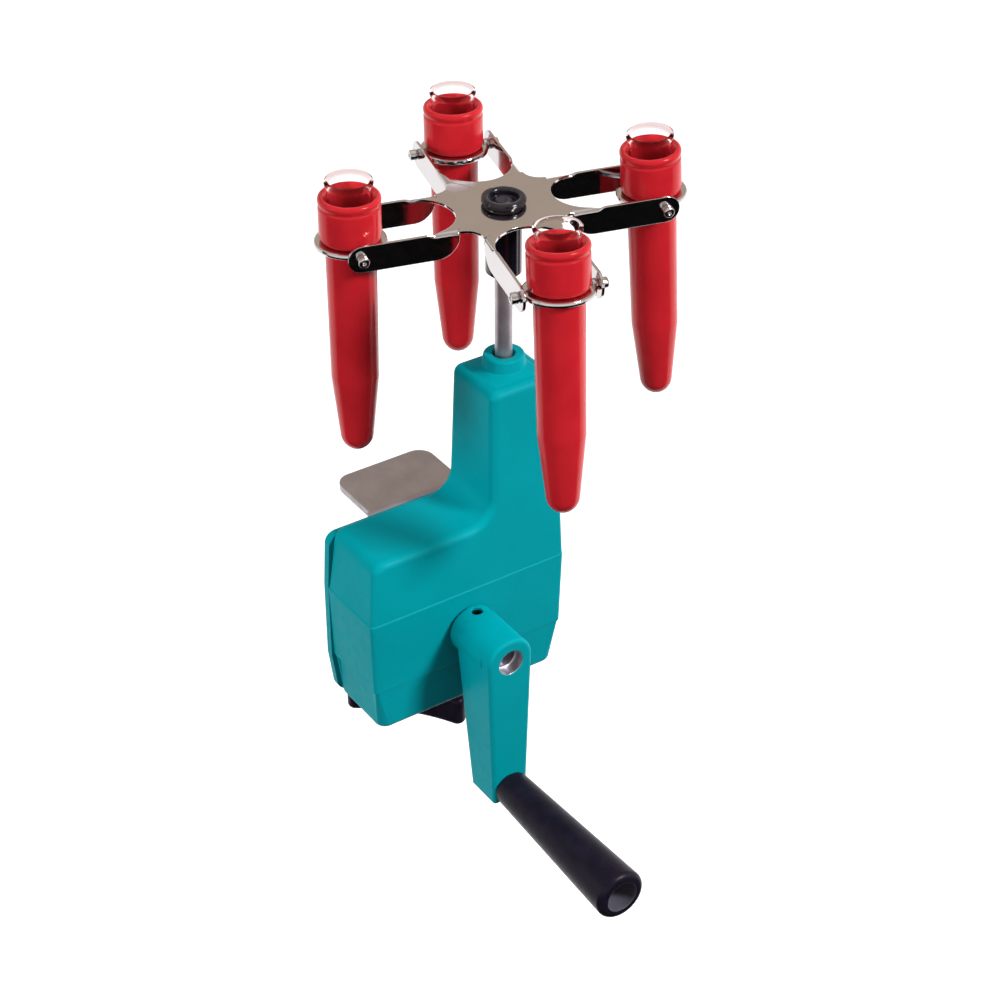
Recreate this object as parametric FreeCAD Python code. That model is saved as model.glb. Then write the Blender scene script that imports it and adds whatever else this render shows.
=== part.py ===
import FreeCAD, Part
import math
import os

# Bench-clamped hand centrifuge, millimetres, +Z up, the crank on the -Y side.
# The origin is the point on the bench top under the middle of the fixed jaw, level with the clamp screw.

V = FreeCAD.Vector
X_AXIS = V(1, 0, 0)
Y_AXIS = V(0, 1, 0)
Z_AXIS = V(0, 0, 1)

# Driving dimensions: axes and levels of the whole machine.
spindle_x = 28.6          # spindle beside the crank axis
spindle_y = -33.0         # spindle in front of the clamp screw
pivot_z = 132.7           # bucket pivots above the bench top
pivot_radius = 60.0       # bucket pivots from the spindle axis
crank_z = -37.9           # crank axis below the bench top
handle_throw = 65.4       # crank axis to handle axis
front_fork_deg = -104.74  # direction of the first fork as it stands
bucket_leans = (5.2, 3.6, -1.7, 0.3)  # outward lean of each hanging bucket, degrees

# Clearances shared by the fits.
running = 0.05            # radial clearance of a shaft in its bush
pin_running = 0.06        # radial clearance of a trunnion in its fork
end_float = 0.3           # axial play and gap between turning faces

# Housing casting.
neck_top_z = 65.5
neck_half = 15.0          # half width of the neck at its top
neck_draft_deg = 1.5
neck_fillet = 10.0        # hollow curve from the neck to the shoulder
shoulder_z = 7.0
shoulder_left = -42.6     # left end of the shoulder at its top
shoulder_round = 6.0
split_z = -20.3           # top of the raised band round the gear case
split_half_x = 45.3       # half width just above the band
depth_half_top = 14.9     # half depth of the casting at the neck top
depth_half_split = 17.3   # and just above the band
outline_round = 3.4
corner_round = 4.0
band_bottom_z = -54.8
band_half_top = (46.4, 18.3)
band_half_bottom = (45.3, 18.0)
foot_half_top = (43.9, 17.2)
foot_half_bottom = (42.7, 16.8)
case_bottom_z = -74.3
case_corner = 5.0
band_edge = 0.6
foot_edge = 2.6
case_back = 15.2          # spindle axis to the rear face that takes the cover
joint_face_y = spindle_y + case_back
cover_top_z = 4.0
cavity_half_x = 39.8
cavity_front = 14.2       # spindle axis to the cavity's front wall
cavity_front_y = spindle_y - cavity_front
cavity_top_z = 3.2
cavity_bottom_z = -71.0
neck_cavity_half = 11.0
neck_cavity_top_z = 56.0
boss_top_z = 72.7
boss_base_r = 9.8
boss_top_r = 8.6
boss_round = 0.9
boss_bore_r = 4.7
top_bush_r = 6.5
top_bush_z = (neck_cavity_top_z, 68.5)
foot_boss_r = 8.2
foot_boss_top_z = -57.5
foot_bush_r = 6.0
foot_bush_bottom_z = -70.0
crank_boss_r = 9.6
crank_bush_r = 7.4
front_boss = 9.0          # spindle axis to the end of the front bearing boss
front_boss_y = spindle_y - front_boss
front_bush_y = (spindle_y - band_half_bottom[1] - 0.2, front_boss_y)
screw_spots = ((-18.5, -10.0), (18.5, -10.0), (-18.5, -60.0), (18.5, -60.0))
screw_boss_r = 3.8

# Rear cover.
cover_thick = 3.6
cover_back_y = joint_face_y + cover_thick
cover_half_top = 43.6
cover_half_mid = 45.0
cover_half_bottom = 42.4
cover_round = 5.0
cover_edge = 1.4
cover_boss = 8.6          # spindle axis to the end of the rear bearing boss
cover_boss_y = spindle_y + cover_boss
cover_bore_deep = 8.4
cover_bore_end_y = cover_boss_y + cover_bore_deep

# Bench clamp.
jaw_thick = 2.8
jaw_half = 22.8
jaw_end_y = 18.4
jaw_corner = 7.0
strap_bend = 2.2          # inner bend radius of the strap
arm_top_z = -67.4
arm_end_y = 13.0
nut_r = 10.0
nut_z = (-74.0, -64.0)
clamp_x = 3.7             # the clamp screw stands a little towards the spindle
clamp_screw_r = 5.0
pad_r = 10.0
pad_z = (-33.0, -27.0)
pad_socket_r = 3.2
pad_edge = 1.0
screw_tip_z = -29.5
screw_tip_r = 3.0
knob_z = (-110.8, -96.8)
knob_hub_top_z = -93.8
knob_hub_r = 9.0
knob_lobes = 3
knob_r = 30.0
lobe_r = 3.6
knob_waist = 13.8         # least radius between two lobes
lobe_angle_deg = -77.2
knob_edge = 2.2
knob_bore_top_z = -106.3

# Cover screws.
m5_r = 2.5
m5_head_r = 3.9
m5_head_h = 3.4
m5_slot = (1.2, 1.5)
m5_reach = 9.0

# Crank.
crank_shaft_r = 5.0
shaft_tail = 16.2         # crank shaft behind the spindle axis
arm_stand_off = 48.0      # front of the crank arm ahead of the spindle axis
arm_front_y = spindle_y - arm_stand_off
arm_counterbore = 5.0
crank_shaft_y = (arm_front_y + arm_counterbore, spindle_y + shaft_tail)
hub_back_y = front_bush_y[0] - 0.8
hub_r = 10.5
arm_half_top = 10.3
arm_half_bottom = 8.0
arm_tip = 6.8             # below the handle axis
arm_bottom_z = crank_z - handle_throw - arm_tip
arm_depth = (23.0, 16.0)  # front to back at the hub and at the tip
arm_back_top_y = arm_front_y + arm_depth[0]
arm_back_bottom_y = arm_front_y + arm_depth[1]
arm_edge = 1.6
arm_counterbore_r = 5.6
set_screw_in = 4.5
set_screw_y = hub_back_y - set_screw_in
set_screw_r = 2.4
set_screw_top = hub_r - 1.2
set_screw_hex = 1.3

# Gear pair: a helical wheel on the crank shaft drives a five-start pinion on the spindle.
wheel_teeth = 50
pinion_starts = 5
pinion_pitch_r = 5.0
wheel_pitch_r = spindle_x - pinion_pitch_r
pressure_deg = 20.0
addendum = 0.72
dedendum = 0.95
backlash = 0.30           # taken from both teeth together, along the pitch circle
wheel_width = 8.0
wheel_slices = 2
pinion_length = 12.0
pinion_slices = 18
wheel_hub_r = 9.0
wheel_hub_y = (front_boss_y + end_float, cover_boss_y - end_float)
wheel_web_r = 19.5
wheel_web_sink = 2.0
pinion_sleeve_r = 4.6
pinion_sleeve_h = 5.0

# Handle.
handle_long = 77.7
handle_y = (arm_front_y - end_float, arm_front_y - end_float - handle_long)
handle_r = (7.6, 10.9)
handle_end_round = 2.4
handle_root_round = 0.8
handle_recess_r = 6.8
handle_recess = 20.0
handle_recess_y = handle_y[1] + handle_recess
handle_bolt_r = 4.0
bolt_shy = 2.0            # the bolt ends short of the arm's back face
handle_bolt_back_y = arm_back_bottom_y - bolt_shy
handle_head_r = 6.0
handle_head_h = 4.0
handle_hex_r = 2.9
handle_hex_deep = 2.4

# Spindle and rotor.
spindle_r = 3.5
spindle_top_z = pivot_z + 8.0
spindle_slot = (1.1, 1.2)
collar_r = 6.6
collar_h = 6.0
sleeve_r = 7.0
sleeve_flange_r = 8.4
sleeve_flange_h = 1.8
sleeve_bottom_z = pivot_z - 24.0
sheet = 1.1
plate_top_z = pivot_z + 5.3
strip_half = 15.5         # outer faces of a fork's two strips
strip_end_r = 5.3
strip_start = 22.4
strip_heel = 31.0
bend_inner = 0.7
fork_arc_r = 17.0
fork_arc_deep = 19.7
corner_arc_r = 6.9
nut_outer_r = 8.6
nut_height = 4.6
nut_recess_r = 5.9
nut_recess_deep = 3.4
nut_edge = 1.0

# Swinging ring, bucket and tube; heights are above the pivot along the bucket's axis.
ring_outer_r = 13.75
ring_inner_r = 10.0
ring_thick = 2.2
ring_edge = 0.8
lug_r = 2.3
lug_root = 1.55           # the lug starts this far inside the ring's rim
lug_span = (ring_outer_r - lug_root, strip_half - sheet - end_float)
pin_r = 1.6
pin_head_r = 2.5
pin_play = 0.4            # pin head to the outside of the fork
pin_head_long = 3.7
pin_head_span = (strip_half + pin_play, strip_half + pin_play + pin_head_long)
pin_head_edge = 0.7
bucket_profile_outer = (
    (9.65, 1.15), (10.3, 1.15), (11.2, 1.7), (11.65, 2.7), (11.65, 3.6), (11.75, 3.9), (11.75, 14.9),
    (11.45, 15.5), (11.45, 16.1), (11.8, 16.8), (11.85, 17.8), (11.5, 18.7), (10.9, 19.1), (10.2, 19.1))
bucket_profile_inner = ((9.2, 17.9), (8.75, 17.2), (8.42, -58.0), (5.75, -84.0), (5.0, -86.6), (4.2, -88.6))
bucket_body_low = (9.2, -58.0)
bucket_cone_end = (6.6, -83.6)
bucket_tip_z = -91.0
cushion_z = (-88.6, -86.0)
cushion_r = 3.9
tube_outer = ((3.2, -85.2), (4.6, -84.0), (5.3, -82.4), (8.05, -58.0), (8.4, 22.4), (9.1, 23.4), (9.2, 24.6), (8.8, 25.3))
tube_inner = ((7.7, 25.3), (7.4, 23.8), (7.3, 20.0), (6.95, -58.0), (4.3, -81.6), (3.5, -83.0), (2.4, -83.9))


def write(name, shape):
    """One STEP file per named piece."""
    shape.exportStep(os.path.join("parts", name + ".step"))


def cylinder(radius, start, end, axis, at):
    """Cylinder along an axis between two coordinates on that axis; at gives its centre line."""
    low = min(start, end)
    base = V(at.x * (1 - axis.x), at.y * (1 - axis.y), at.z * (1 - axis.z)) + axis * low
    return Part.makeCylinder(radius, abs(end - start), base, axis)


def cone(r_low, r_high, low, high, axis, at):
    """Cone along an axis, r_low at the lower coordinate."""
    base = V(at.x * (1 - axis.x), at.y * (1 - axis.y), at.z * (1 - axis.z)) + axis * low
    return Part.makeCone(r_low, r_high, high - low, base, axis)


def turned(points):
    """Solid of revolution about Z from (radius, height) points."""
    loop = [V(r, 0, z) for r, z in points]
    face = Part.Face(Part.makePolygon(loop + loop[:1]))
    return face.revolve(V(0, 0, 0), Z_AXIS, 360)


def rounded_loop(points, radii):
    """Closed wire through the points with each corner rounded by its radius."""
    count = len(points)
    pieces = []
    ends = []
    for i, corner in enumerate(points):
        before = points[i - 1]
        after = points[(i + 1) % count]
        into = (before - corner).normalize()
        out = (after - corner).normalize()
        if radii[i] <= 0:
            ends.append((corner, corner, None))
            continue
        half = into.getAngle(out) / 2
        reach = radii[i] / math.tan(half)
        middle = (into + out).normalize()
        centre = corner + middle * (radii[i] / math.sin(half))
        ends.append((corner + into * reach, corner + out * reach, centre - middle * radii[i]))
    for i, (start, finish, top) in enumerate(ends):
        if top is not None:
            pieces.append(Part.Arc(start, top, finish).toShape())
        nxt = ends[(i + 1) % count][0]
        if finish.distanceToPoint(nxt) > 1e-6:
            pieces.append(Part.LineSegment(finish, nxt).toShape())
    return Part.Wire(pieces)


def rectangle(centre, half_x, half_y, radius):
    """Rounded rectangle wire in a level plane."""
    corners = [centre + V(sx * half_x, sy * half_y, 0) for sx, sy in ((-1, -1), (1, -1), (1, 1), (-1, 1))]
    return rounded_loop(corners, [radius] * 4)


def tapered(centre, half_low, z_low, half_high, z_high, radius):
    """Block with draft between two level rounded rectangles."""
    low = rectangle(V(centre.x, centre.y, z_low), half_low[0], half_low[1], radius)
    high = rectangle(V(centre.x, centre.y, z_high), half_high[0], half_high[1], radius)
    return Part.makeLoft([low, high], True, True)


def level_edges(shape, z):
    """Edges of a shape that lie in the level plane z."""
    return [e for e in shape.Edges if all(abs(v.Z - z) < 1e-4 for v in e.Vertexes)]


def polyhedron(loops):
    """Closed solid whose skin joins a stack of equal point loops with triangles."""
    count = len(loops[0])
    faces = [Part.Face(Part.makePolygon(list(reversed(loops[0])) + [loops[0][-1]]))]
    for low, high in zip(loops[:-1], loops[1:]):
        for i in range(count):
            j = (i + 1) % count
            for a, b, c in ((low[i], low[j], high[j]), (low[i], high[j], high[i])):
                faces.append(Part.Face(Part.makePolygon([a, b, c, a])))
    faces.append(Part.Face(Part.makePolygon(loops[-1] + [loops[-1][0]])))
    solid = Part.makeSolid(Part.makeShell(faces))
    if solid.Volume < 0:
        solid.reverse()
    return solid


# Housing: one casting with a tall neck, a shoulder and a gear case open at the back.
case_centre = V(0, spindle_y, 0)
spindle_at = V(spindle_x, spindle_y, 0)
crank_at = V(0, 0, crank_z)

drop = math.tan(math.radians(neck_draft_deg))
neck_left_top = spindle_x - neck_half
neck_left_low = neck_left_top - (neck_top_z - shoulder_z) * drop
neck_right_top = spindle_x + neck_half
profile = [
    V(neck_right_top, 0, neck_top_z), V(neck_left_top, 0, neck_top_z), V(neck_left_low, 0, shoulder_z),
    V(shoulder_left, 0, shoulder_z), V(-split_half_x, 0, split_z), V(split_half_x + 0.3, 0, split_z)]
outline = rounded_loop(profile, [corner_round, corner_round, neck_fillet, shoulder_round, 0, 0])
outline.translate(V(0, spindle_y - 30, 0))
prism = Part.Face(outline).extrude(V(0, 60, 0))
wedge_ends = [V(-80, spindle_y - depth_half_split, split_z), V(-80, spindle_y + depth_half_split, split_z),
              V(-80, spindle_y + depth_half_top, neck_top_z), V(-80, spindle_y - depth_half_top, neck_top_z)]
wedge = Part.Face(Part.makePolygon(wedge_ends + wedge_ends[:1])).extrude(V(160, 0, 0))
upper = prism.common(wedge)


def side_outline(shape, sign):
    """Edges where the casting's front or back face meets its rim."""
    found = []
    for edge in shape.Edges:
        spots = [edge.valueAt(edge.FirstParameter + (edge.LastParameter - edge.FirstParameter) * t)
                 for t in (0, 0.5, 1)]
        run = (depth_half_split - depth_half_top) / (neck_top_z - split_z)
        gaps = [abs((s.y - spindle_y) * sign - depth_half_top - (neck_top_z - s.z) * run) for s in spots]
        if max(gaps) < 0.02 and max(s.z for s in spots) > split_z + 0.1:
            found.append(edge)
    return found


upper = upper.makeFillet(outline_round, side_outline(upper, 1) + side_outline(upper, -1))
band = tapered(case_centre, band_half_bottom, band_bottom_z, band_half_top, split_z, case_corner)
band = band.makeFillet(band_edge, level_edges(band, split_z) + level_edges(band, band_bottom_z))
foot = tapered(case_centre, foot_half_bottom, case_bottom_z, foot_half_top, band_bottom_z, case_corner)
foot = foot.makeFillet(foot_edge, level_edges(foot, case_bottom_z))
boss = cone(boss_base_r, boss_top_r, neck_top_z - 1.0, boss_top_z, Z_AXIS, spindle_at)
boss = boss.makeFillet(boss_round, level_edges(boss, boss_top_z))
housing = upper.fuse([band, foot, boss])

cavity = Part.makeBox(2 * cavity_half_x, 60, cavity_top_z - cavity_bottom_z,
                      V(-cavity_half_x, cavity_front_y, cavity_bottom_z))
neck_cavity = Part.makeBox(2 * neck_cavity_half, 2 * neck_cavity_half, neck_cavity_top_z - cavity_top_z + 1,
                           V(spindle_x - neck_cavity_half, spindle_y - neck_cavity_half, cavity_top_z - 1))
housing = housing.cut([cavity, neck_cavity])
behind = Part.makeBox(120, 30, cover_top_z - case_bottom_z + 10, V(-60, joint_face_y, case_bottom_z - 10))
housing = housing.cut(behind)
bosses = [cylinder(foot_boss_r, cavity_bottom_z - 1, foot_boss_top_z, Z_AXIS, spindle_at),
          cylinder(crank_boss_r, cavity_front_y - 1, front_boss_y, Y_AXIS, crank_at)]
for x, z in screw_spots:
    bosses.append(cylinder(screw_boss_r, cavity_front_y - 1, joint_face_y, Y_AXIS, V(x, 0, z)))
housing = housing.fuse(bosses)
bores = [cylinder(boss_bore_r, top_bush_z[1], boss_top_z + 1, Z_AXIS, spindle_at),
         cylinder(top_bush_r, top_bush_z[0] - 1, top_bush_z[1], Z_AXIS, spindle_at),
         cylinder(foot_bush_r, foot_bush_bottom_z, foot_boss_top_z + 1, Z_AXIS, spindle_at),
         cylinder(crank_bush_r, spindle_y - 30, front_boss_y + 1, Y_AXIS, crank_at)]
for x, z in screw_spots:
    bores.append(cylinder(m5_r, joint_face_y - m5_reach, joint_face_y + 1, Y_AXIS, V(x, 0, z)))
housing = housing.cut(bores)

top_bush = cylinder(top_bush_r, top_bush_z[0], top_bush_z[1], Z_AXIS, spindle_at).cut(
    cylinder(spindle_r + running, top_bush_z[0] - 1, top_bush_z[1] + 1, Z_AXIS, spindle_at))
foot_bush = cylinder(foot_bush_r, foot_bush_bottom_z, foot_boss_top_z, Z_AXIS, spindle_at).cut(
    cylinder(spindle_r + running, foot_bush_bottom_z - 1, foot_boss_top_z + 1, Z_AXIS, spindle_at))
front_bush = cylinder(crank_bush_r, front_bush_y[0], front_bush_y[1], Y_AXIS, crank_at).cut(
    cylinder(crank_shaft_r + running, front_bush_y[0] - 1, front_bush_y[1] + 1, Y_AXIS, crank_at))

# Rear cover: a flat cast plate with a blind boss for the back end of the crank shaft.
cover_points = [
    V(-cover_half_top, joint_face_y, cover_top_z), V(-cover_half_mid, joint_face_y, split_z),
    V(-cover_half_mid, joint_face_y, band_bottom_z), V(-cover_half_bottom, joint_face_y, case_bottom_z + 0.3),
    V(cover_half_bottom, joint_face_y, case_bottom_z + 0.3), V(cover_half_mid, joint_face_y, band_bottom_z),
    V(cover_half_mid, joint_face_y, split_z), V(cover_half_top, joint_face_y, cover_top_z)]
cover_radii = [cover_round, 0, 0, cover_round, cover_round, 0, 0, 1.5]
rear_cover = Part.Face(rounded_loop(cover_points, cover_radii)).extrude(V(0, cover_thick, 0))
back_edges = [e for e in rear_cover.Edges if all(abs(v.Y - cover_back_y) < 1e-4 for v in e.Vertexes)]
rear_cover = rear_cover.makeFillet(cover_edge, back_edges)
rear_cover = rear_cover.fuse(cylinder(crank_boss_r, cover_boss_y, joint_face_y + 1, Y_AXIS, crank_at))
rear_cover = rear_cover.cut(cylinder(crank_bush_r, cover_boss_y - 1, cover_bore_end_y, Y_AXIS, crank_at))
for x, z in screw_spots:
    rear_cover = rear_cover.cut(cylinder(m5_r, joint_face_y - 1, cover_back_y + 1, Y_AXIS, V(x, 0, z)))
rear_bush = cylinder(crank_bush_r, cover_boss_y, cover_bore_end_y, Y_AXIS, crank_at).cut(
    cylinder(crank_shaft_r + running, cover_boss_y - 1, cover_bore_end_y + 1, Y_AXIS, crank_at))

# Clamp bracket: one steel strap bent into a channel, jaw on top and screw arm below.
web_back_y = cover_back_y + jaw_thick
outer_bend = strap_bend + jaw_thick
outer_loop = [V(0, cover_back_y, jaw_thick), V(0, jaw_end_y, jaw_thick), V(0, jaw_end_y, arm_top_z - jaw_thick),
              V(0, cover_back_y, arm_top_z - jaw_thick)]
inner_loop = [V(0, web_back_y, 0), V(0, jaw_end_y + 9, 0), V(0, jaw_end_y + 9, arm_top_z), V(0, web_back_y, arm_top_z)]
strap = Part.Face(rounded_loop(outer_loop, [outer_bend, 0, 0, outer_bend])).extrude(V(2 * jaw_half, 0, 0))
hollow = Part.Face(rounded_loop(inner_loop, [strap_bend, 0, 0, strap_bend])).extrude(V(2 * jaw_half, 0, 0))
bracket = strap.cut(hollow)
bracket.translate(V(-jaw_half, 0, 0))
jaw_plan = [V(-jaw_half, cover_back_y - 5, 0), V(jaw_half, cover_back_y - 5, 0), V(jaw_half, jaw_end_y, 0),
            V(-jaw_half, jaw_end_y, 0)]
jaw_keep = Part.Face(rounded_loop(jaw_plan, [0, 0, jaw_corner, jaw_corner]))
jaw_keep.translate(V(0, 0, -30))
arm_plan = [V(-jaw_half, cover_back_y - 5, 0), V(jaw_half, cover_back_y - 5, 0), V(jaw_half, web_back_y + 3, 0),
            V(clamp_x + nut_r + 4, arm_end_y, 0), V(clamp_x - nut_r - 4, arm_end_y, 0), V(-jaw_half, web_back_y + 3, 0)]
arm_keep = Part.Face(rounded_loop(arm_plan, [0, 0, 6, 6, 6, 6]))
arm_keep.translate(V(0, 0, -90))
bracket = bracket.common(jaw_keep.extrude(V(0, 0, 40)).fuse(arm_keep.extrude(V(0, 0, 60))))
clamp_at = V(clamp_x, 0, 0)
bracket = bracket.cut(cylinder(nut_r - 2, nut_z[0] - 1, nut_z[1] + 1, Z_AXIS, clamp_at))
for x, z in screw_spots:
    bracket = bracket.cut(cylinder(m5_r, cover_back_y - 1, web_back_y + 1, Y_AXIS, V(x, 0, z)))

nut_shoulder = cylinder(nut_r, nut_z[0], arm_top_z - jaw_thick, Z_AXIS, clamp_at)
nut_barrel = cylinder(nut_r - 2, nut_z[0], nut_z[1], Z_AXIS, clamp_at)
clamp_nut = nut_shoulder.fuse(nut_barrel).cut(
    cylinder(clamp_screw_r + running, nut_z[0] - 1, nut_z[1] + 1, Z_AXIS, clamp_at))

cover_screws = []
for x, z in screw_spots:
    spot = V(x, 0, z)
    head = cylinder(m5_head_r, web_back_y, web_back_y + m5_head_h, Y_AXIS, spot)
    shank = cylinder(m5_r, joint_face_y - m5_reach + 1, web_back_y, Y_AXIS, spot)
    slot = Part.makeBox(m5_head_r * 4, m5_slot[1], m5_slot[0],
                        V(x - m5_head_r * 2, web_back_y + m5_head_h - m5_slot[1], z - m5_slot[0] / 2))
    cover_screws.append(head.fuse(shank).cut(slot))

# Clamp pad, screw and three-armed knob.
pad = cylinder(pad_r, pad_z[0], pad_z[1], Z_AXIS, clamp_at)
pad = pad.makeChamfer(pad_edge, level_edges(pad, pad_z[1]))
pad = pad.cut(cylinder(pad_socket_r, pad_z[0] - 1, screw_tip_z + end_float, Z_AXIS, clamp_at))
clamp_screw = cylinder(clamp_screw_r, knob_bore_top_z, pad_z[0], Z_AXIS, clamp_at).fuse(
    cylinder(screw_tip_r, pad_z[0], screw_tip_z, Z_AXIS, clamp_at))
lobe_at = knob_r - lobe_r
half_step = math.pi / knob_lobes
near = lobe_at * math.cos(half_step)
beside = lobe_at * math.sin(half_step)
# Each scallop arc touches its two lobes and comes in to the waist radius.
scallop_r = (near ** 2 + beside ** 2 + knob_waist ** 2 - lobe_r ** 2 - 2 * near * knob_waist) / (
    2 * (near + lobe_r - knob_waist))
scallop_at = knob_waist + scallop_r


def around(radius, angle):
    """Point on a circle about the screw axis at the knob's lower face."""
    return V(clamp_x + radius * math.cos(angle), radius * math.sin(angle), knob_z[0])


star = []
for k in range(knob_lobes):
    lobe_angle = math.radians(lobe_angle_deg) + 2 * half_step * k
    lobe = around(lobe_at, lobe_angle)
    before = around(scallop_at, lobe_angle - half_step)
    after = around(scallop_at, lobe_angle + half_step)
    next_lobe = around(lobe_at, lobe_angle + 2 * half_step)
    enter = lobe + (before - lobe).normalize() * lobe_r
    leave = lobe + (after - lobe).normalize() * lobe_r
    following = next_lobe + (after - next_lobe).normalize() * lobe_r
    star.append(Part.Arc(enter, around(knob_r, lobe_angle), leave).toShape())
    star.append(Part.Arc(leave, around(scallop_at - scallop_r, lobe_angle + half_step), following).toShape())
disc = Part.Face(Part.Wire(star)).extrude(V(0, 0, knob_z[1] - knob_z[0]))
disc = disc.makeFillet(knob_edge, level_edges(disc, knob_z[0]) + level_edges(disc, knob_z[1]))
knob = disc.fuse(cylinder(knob_hub_r, knob_z[1] - 3, knob_hub_top_z, Z_AXIS, clamp_at))
knob = knob.cut(cylinder(clamp_screw_r, knob_bore_top_z, knob_hub_top_z + 1, Z_AXIS, clamp_at))

# Gear pair with crossed axes: both tooth forms are involutes carried along a helix.
wheel_helix = math.atan(wheel_pitch_r * pinion_starts / (wheel_teeth * pinion_pitch_r))
pinion_helix = math.pi / 2 - wheel_helix


def tooth_loop(teeth, pitch_r, helix, first, flank_points):
    """Points round one transverse section of a gear, as (angle, radius), a tooth centred on first."""
    pressure = math.atan(math.tan(math.radians(pressure_deg)) / math.cos(helix))
    base_r = pitch_r * math.cos(pressure)
    involute = math.tan(pressure) - pressure
    half_pitch = (math.pi * pitch_r / teeth - backlash / 2 / math.cos(helix)) / (2 * pitch_r)
    root = max(pitch_r - dedendum, base_r)
    flank = []
    for k in range(flank_points):
        radius = root + (pitch_r + addendum - root) * k / (flank_points - 1)
        at = math.acos(min(1.0, base_r / radius))
        flank.append((half_pitch + involute - math.tan(at) + at, radius))
    loop = []
    for n in range(teeth):
        middle = first + 2 * math.pi * n / teeth
        loop += [(middle - a, r) for a, r in flank]
        loop += [(middle + a, r) for a, r in reversed(flank)]
    return loop


wheel_section = tooth_loop(wheel_teeth, wheel_pitch_r, wheel_helix, math.pi / wheel_teeth, 2)
wheel_loops = []
for k in range(wheel_slices + 1):
    shift = wheel_width * (k / wheel_slices - 0.5)
    twist = shift * math.tan(wheel_helix) / wheel_pitch_r
    wheel_loops.append([V(r * math.cos(a + twist), spindle_y + shift, crank_z + r * math.sin(a + twist))
                        for a, r in wheel_section])
wheel = polyhedron(wheel_loops)
wheel_axis = V(0, 0, crank_z)
for start, end in ((-wheel_width, -wheel_width / 2 + wheel_web_sink), (wheel_width / 2 - wheel_web_sink, wheel_width)):
    ring = cylinder(wheel_web_r, spindle_y + start, spindle_y + end, Y_AXIS, wheel_axis)
    wheel = wheel.cut(ring.cut(cylinder(wheel_hub_r, spindle_y + start, spindle_y + end, Y_AXIS, wheel_axis)))
wheel = wheel.fuse(cylinder(wheel_hub_r, wheel_hub_y[0], wheel_hub_y[1], Y_AXIS, wheel_axis))
wheel = wheel.cut(cylinder(crank_shaft_r, spindle_y - 20, spindle_y + 20, Y_AXIS, wheel_axis))

pinion_section = tooth_loop(pinion_starts, pinion_pitch_r, pinion_helix, math.pi, 3)
pinion_loops = []
for k in range(pinion_slices + 1):
    shift = pinion_length * (k / pinion_slices - 0.5)
    twist = -shift * math.tan(pinion_helix) / pinion_pitch_r
    pinion_loops.append([V(spindle_x + r * math.cos(a + twist), spindle_y + r * math.sin(a + twist),
                           crank_z + shift) for a, r in pinion_section])
pinion = polyhedron(pinion_loops)
pinion_low_z = crank_z - pinion_length / 2
pinion = pinion.fuse(cylinder(pinion_sleeve_r, pinion_low_z - pinion_sleeve_h, pinion_low_z, Z_AXIS, spindle_at))
pinion = pinion.cut(cylinder(spindle_r, crank_z - 30, crank_z + 30, Z_AXIS, spindle_at))

# Crank: shaft, cast arm with its long hub, set screw, handle bolt and turning grip.
crank_shaft = cylinder(crank_shaft_r, crank_shaft_y[0], crank_shaft_y[1], Y_AXIS, crank_at)

front_view = [V(-arm_half_bottom, 0, arm_bottom_z), V(arm_half_bottom, 0, arm_bottom_z),
              V(arm_half_top, 0, crank_z), V(arm_half_top, 0, crank_z + hub_r), V(-arm_half_top, 0, crank_z + hub_r),
              V(-arm_half_top, 0, crank_z)]
front_loop = rounded_loop(front_view, [1.5, 1.5, 0, hub_r - 0.6, hub_r - 0.6, 0])
front_loop.translate(V(0, arm_front_y, 0))
arm_prism = Part.Face(front_loop).extrude(V(0, 40, 0))
side_view = [V(-20, arm_front_y, arm_bottom_z - 1), V(-20, arm_back_bottom_y, arm_bottom_z - 1),
             V(-20, arm_back_top_y, crank_z - 6), V(-20, arm_back_top_y, crank_z + 20), V(-20, arm_front_y, crank_z + 20)]
side_prism = Part.Face(Part.makePolygon(side_view + side_view[:1])).extrude(V(40, 0, 0))
crank_arm = arm_prism.common(side_prism)
rim = [e for e in crank_arm.Edges if all(abs(v.Y - arm_front_y) < 1e-4 for v in e.Vertexes)]
crank_arm = crank_arm.makeFillet(arm_edge, rim)
hub = cylinder(hub_r, arm_front_y + 6, hub_back_y, Y_AXIS, crank_at)
hub_rim = [e for e in hub.Edges if all(abs(v.Y - hub_back_y) < 1e-4 for v in e.Vertexes)]
hub = hub.makeFillet(1.0, hub_rim)
crank_arm = crank_arm.fuse(hub)
handle_at = V(0, 0, crank_z - handle_throw)
crank_arm = crank_arm.cut([
    cylinder(crank_shaft_r, crank_shaft_y[0], hub_back_y + 1, Y_AXIS, crank_at),
    cylinder(arm_counterbore_r, arm_front_y - 1, crank_shaft_y[0], Y_AXIS, crank_at),
    cylinder(handle_bolt_r, arm_front_y - 1, handle_bolt_back_y, Y_AXIS, handle_at),
    cylinder(set_screw_r, crank_z, crank_z + 20, Z_AXIS, V(0, set_screw_y, 0))])
set_screw = cylinder(set_screw_r, crank_z + crank_shaft_r, crank_z + set_screw_top, Z_AXIS, V(0, set_screw_y, 0))


def hexagon(across_r, start, length, axis, at):
    """Six-sided prism for a key socket."""
    side = V(0, 0, 1) if abs(axis.z) < 0.5 else V(1, 0, 0)
    other = axis.cross(side)
    base = V(at.x * (1 - axis.x), at.y * (1 - axis.y), at.z * (1 - axis.z)) + axis * start
    ring = [base + side * (across_r * math.cos(math.radians(60 * n))) + other * (across_r * math.sin(math.radians(60 * n)))
            for n in range(6)]
    return Part.Face(Part.makePolygon(ring + ring[:1])).extrude(axis * length)


set_screw = set_screw.cut(hexagon(set_screw_hex, crank_z + set_screw_top - 2, 3, Z_AXIS, V(0, set_screw_y, 0)))

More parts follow.
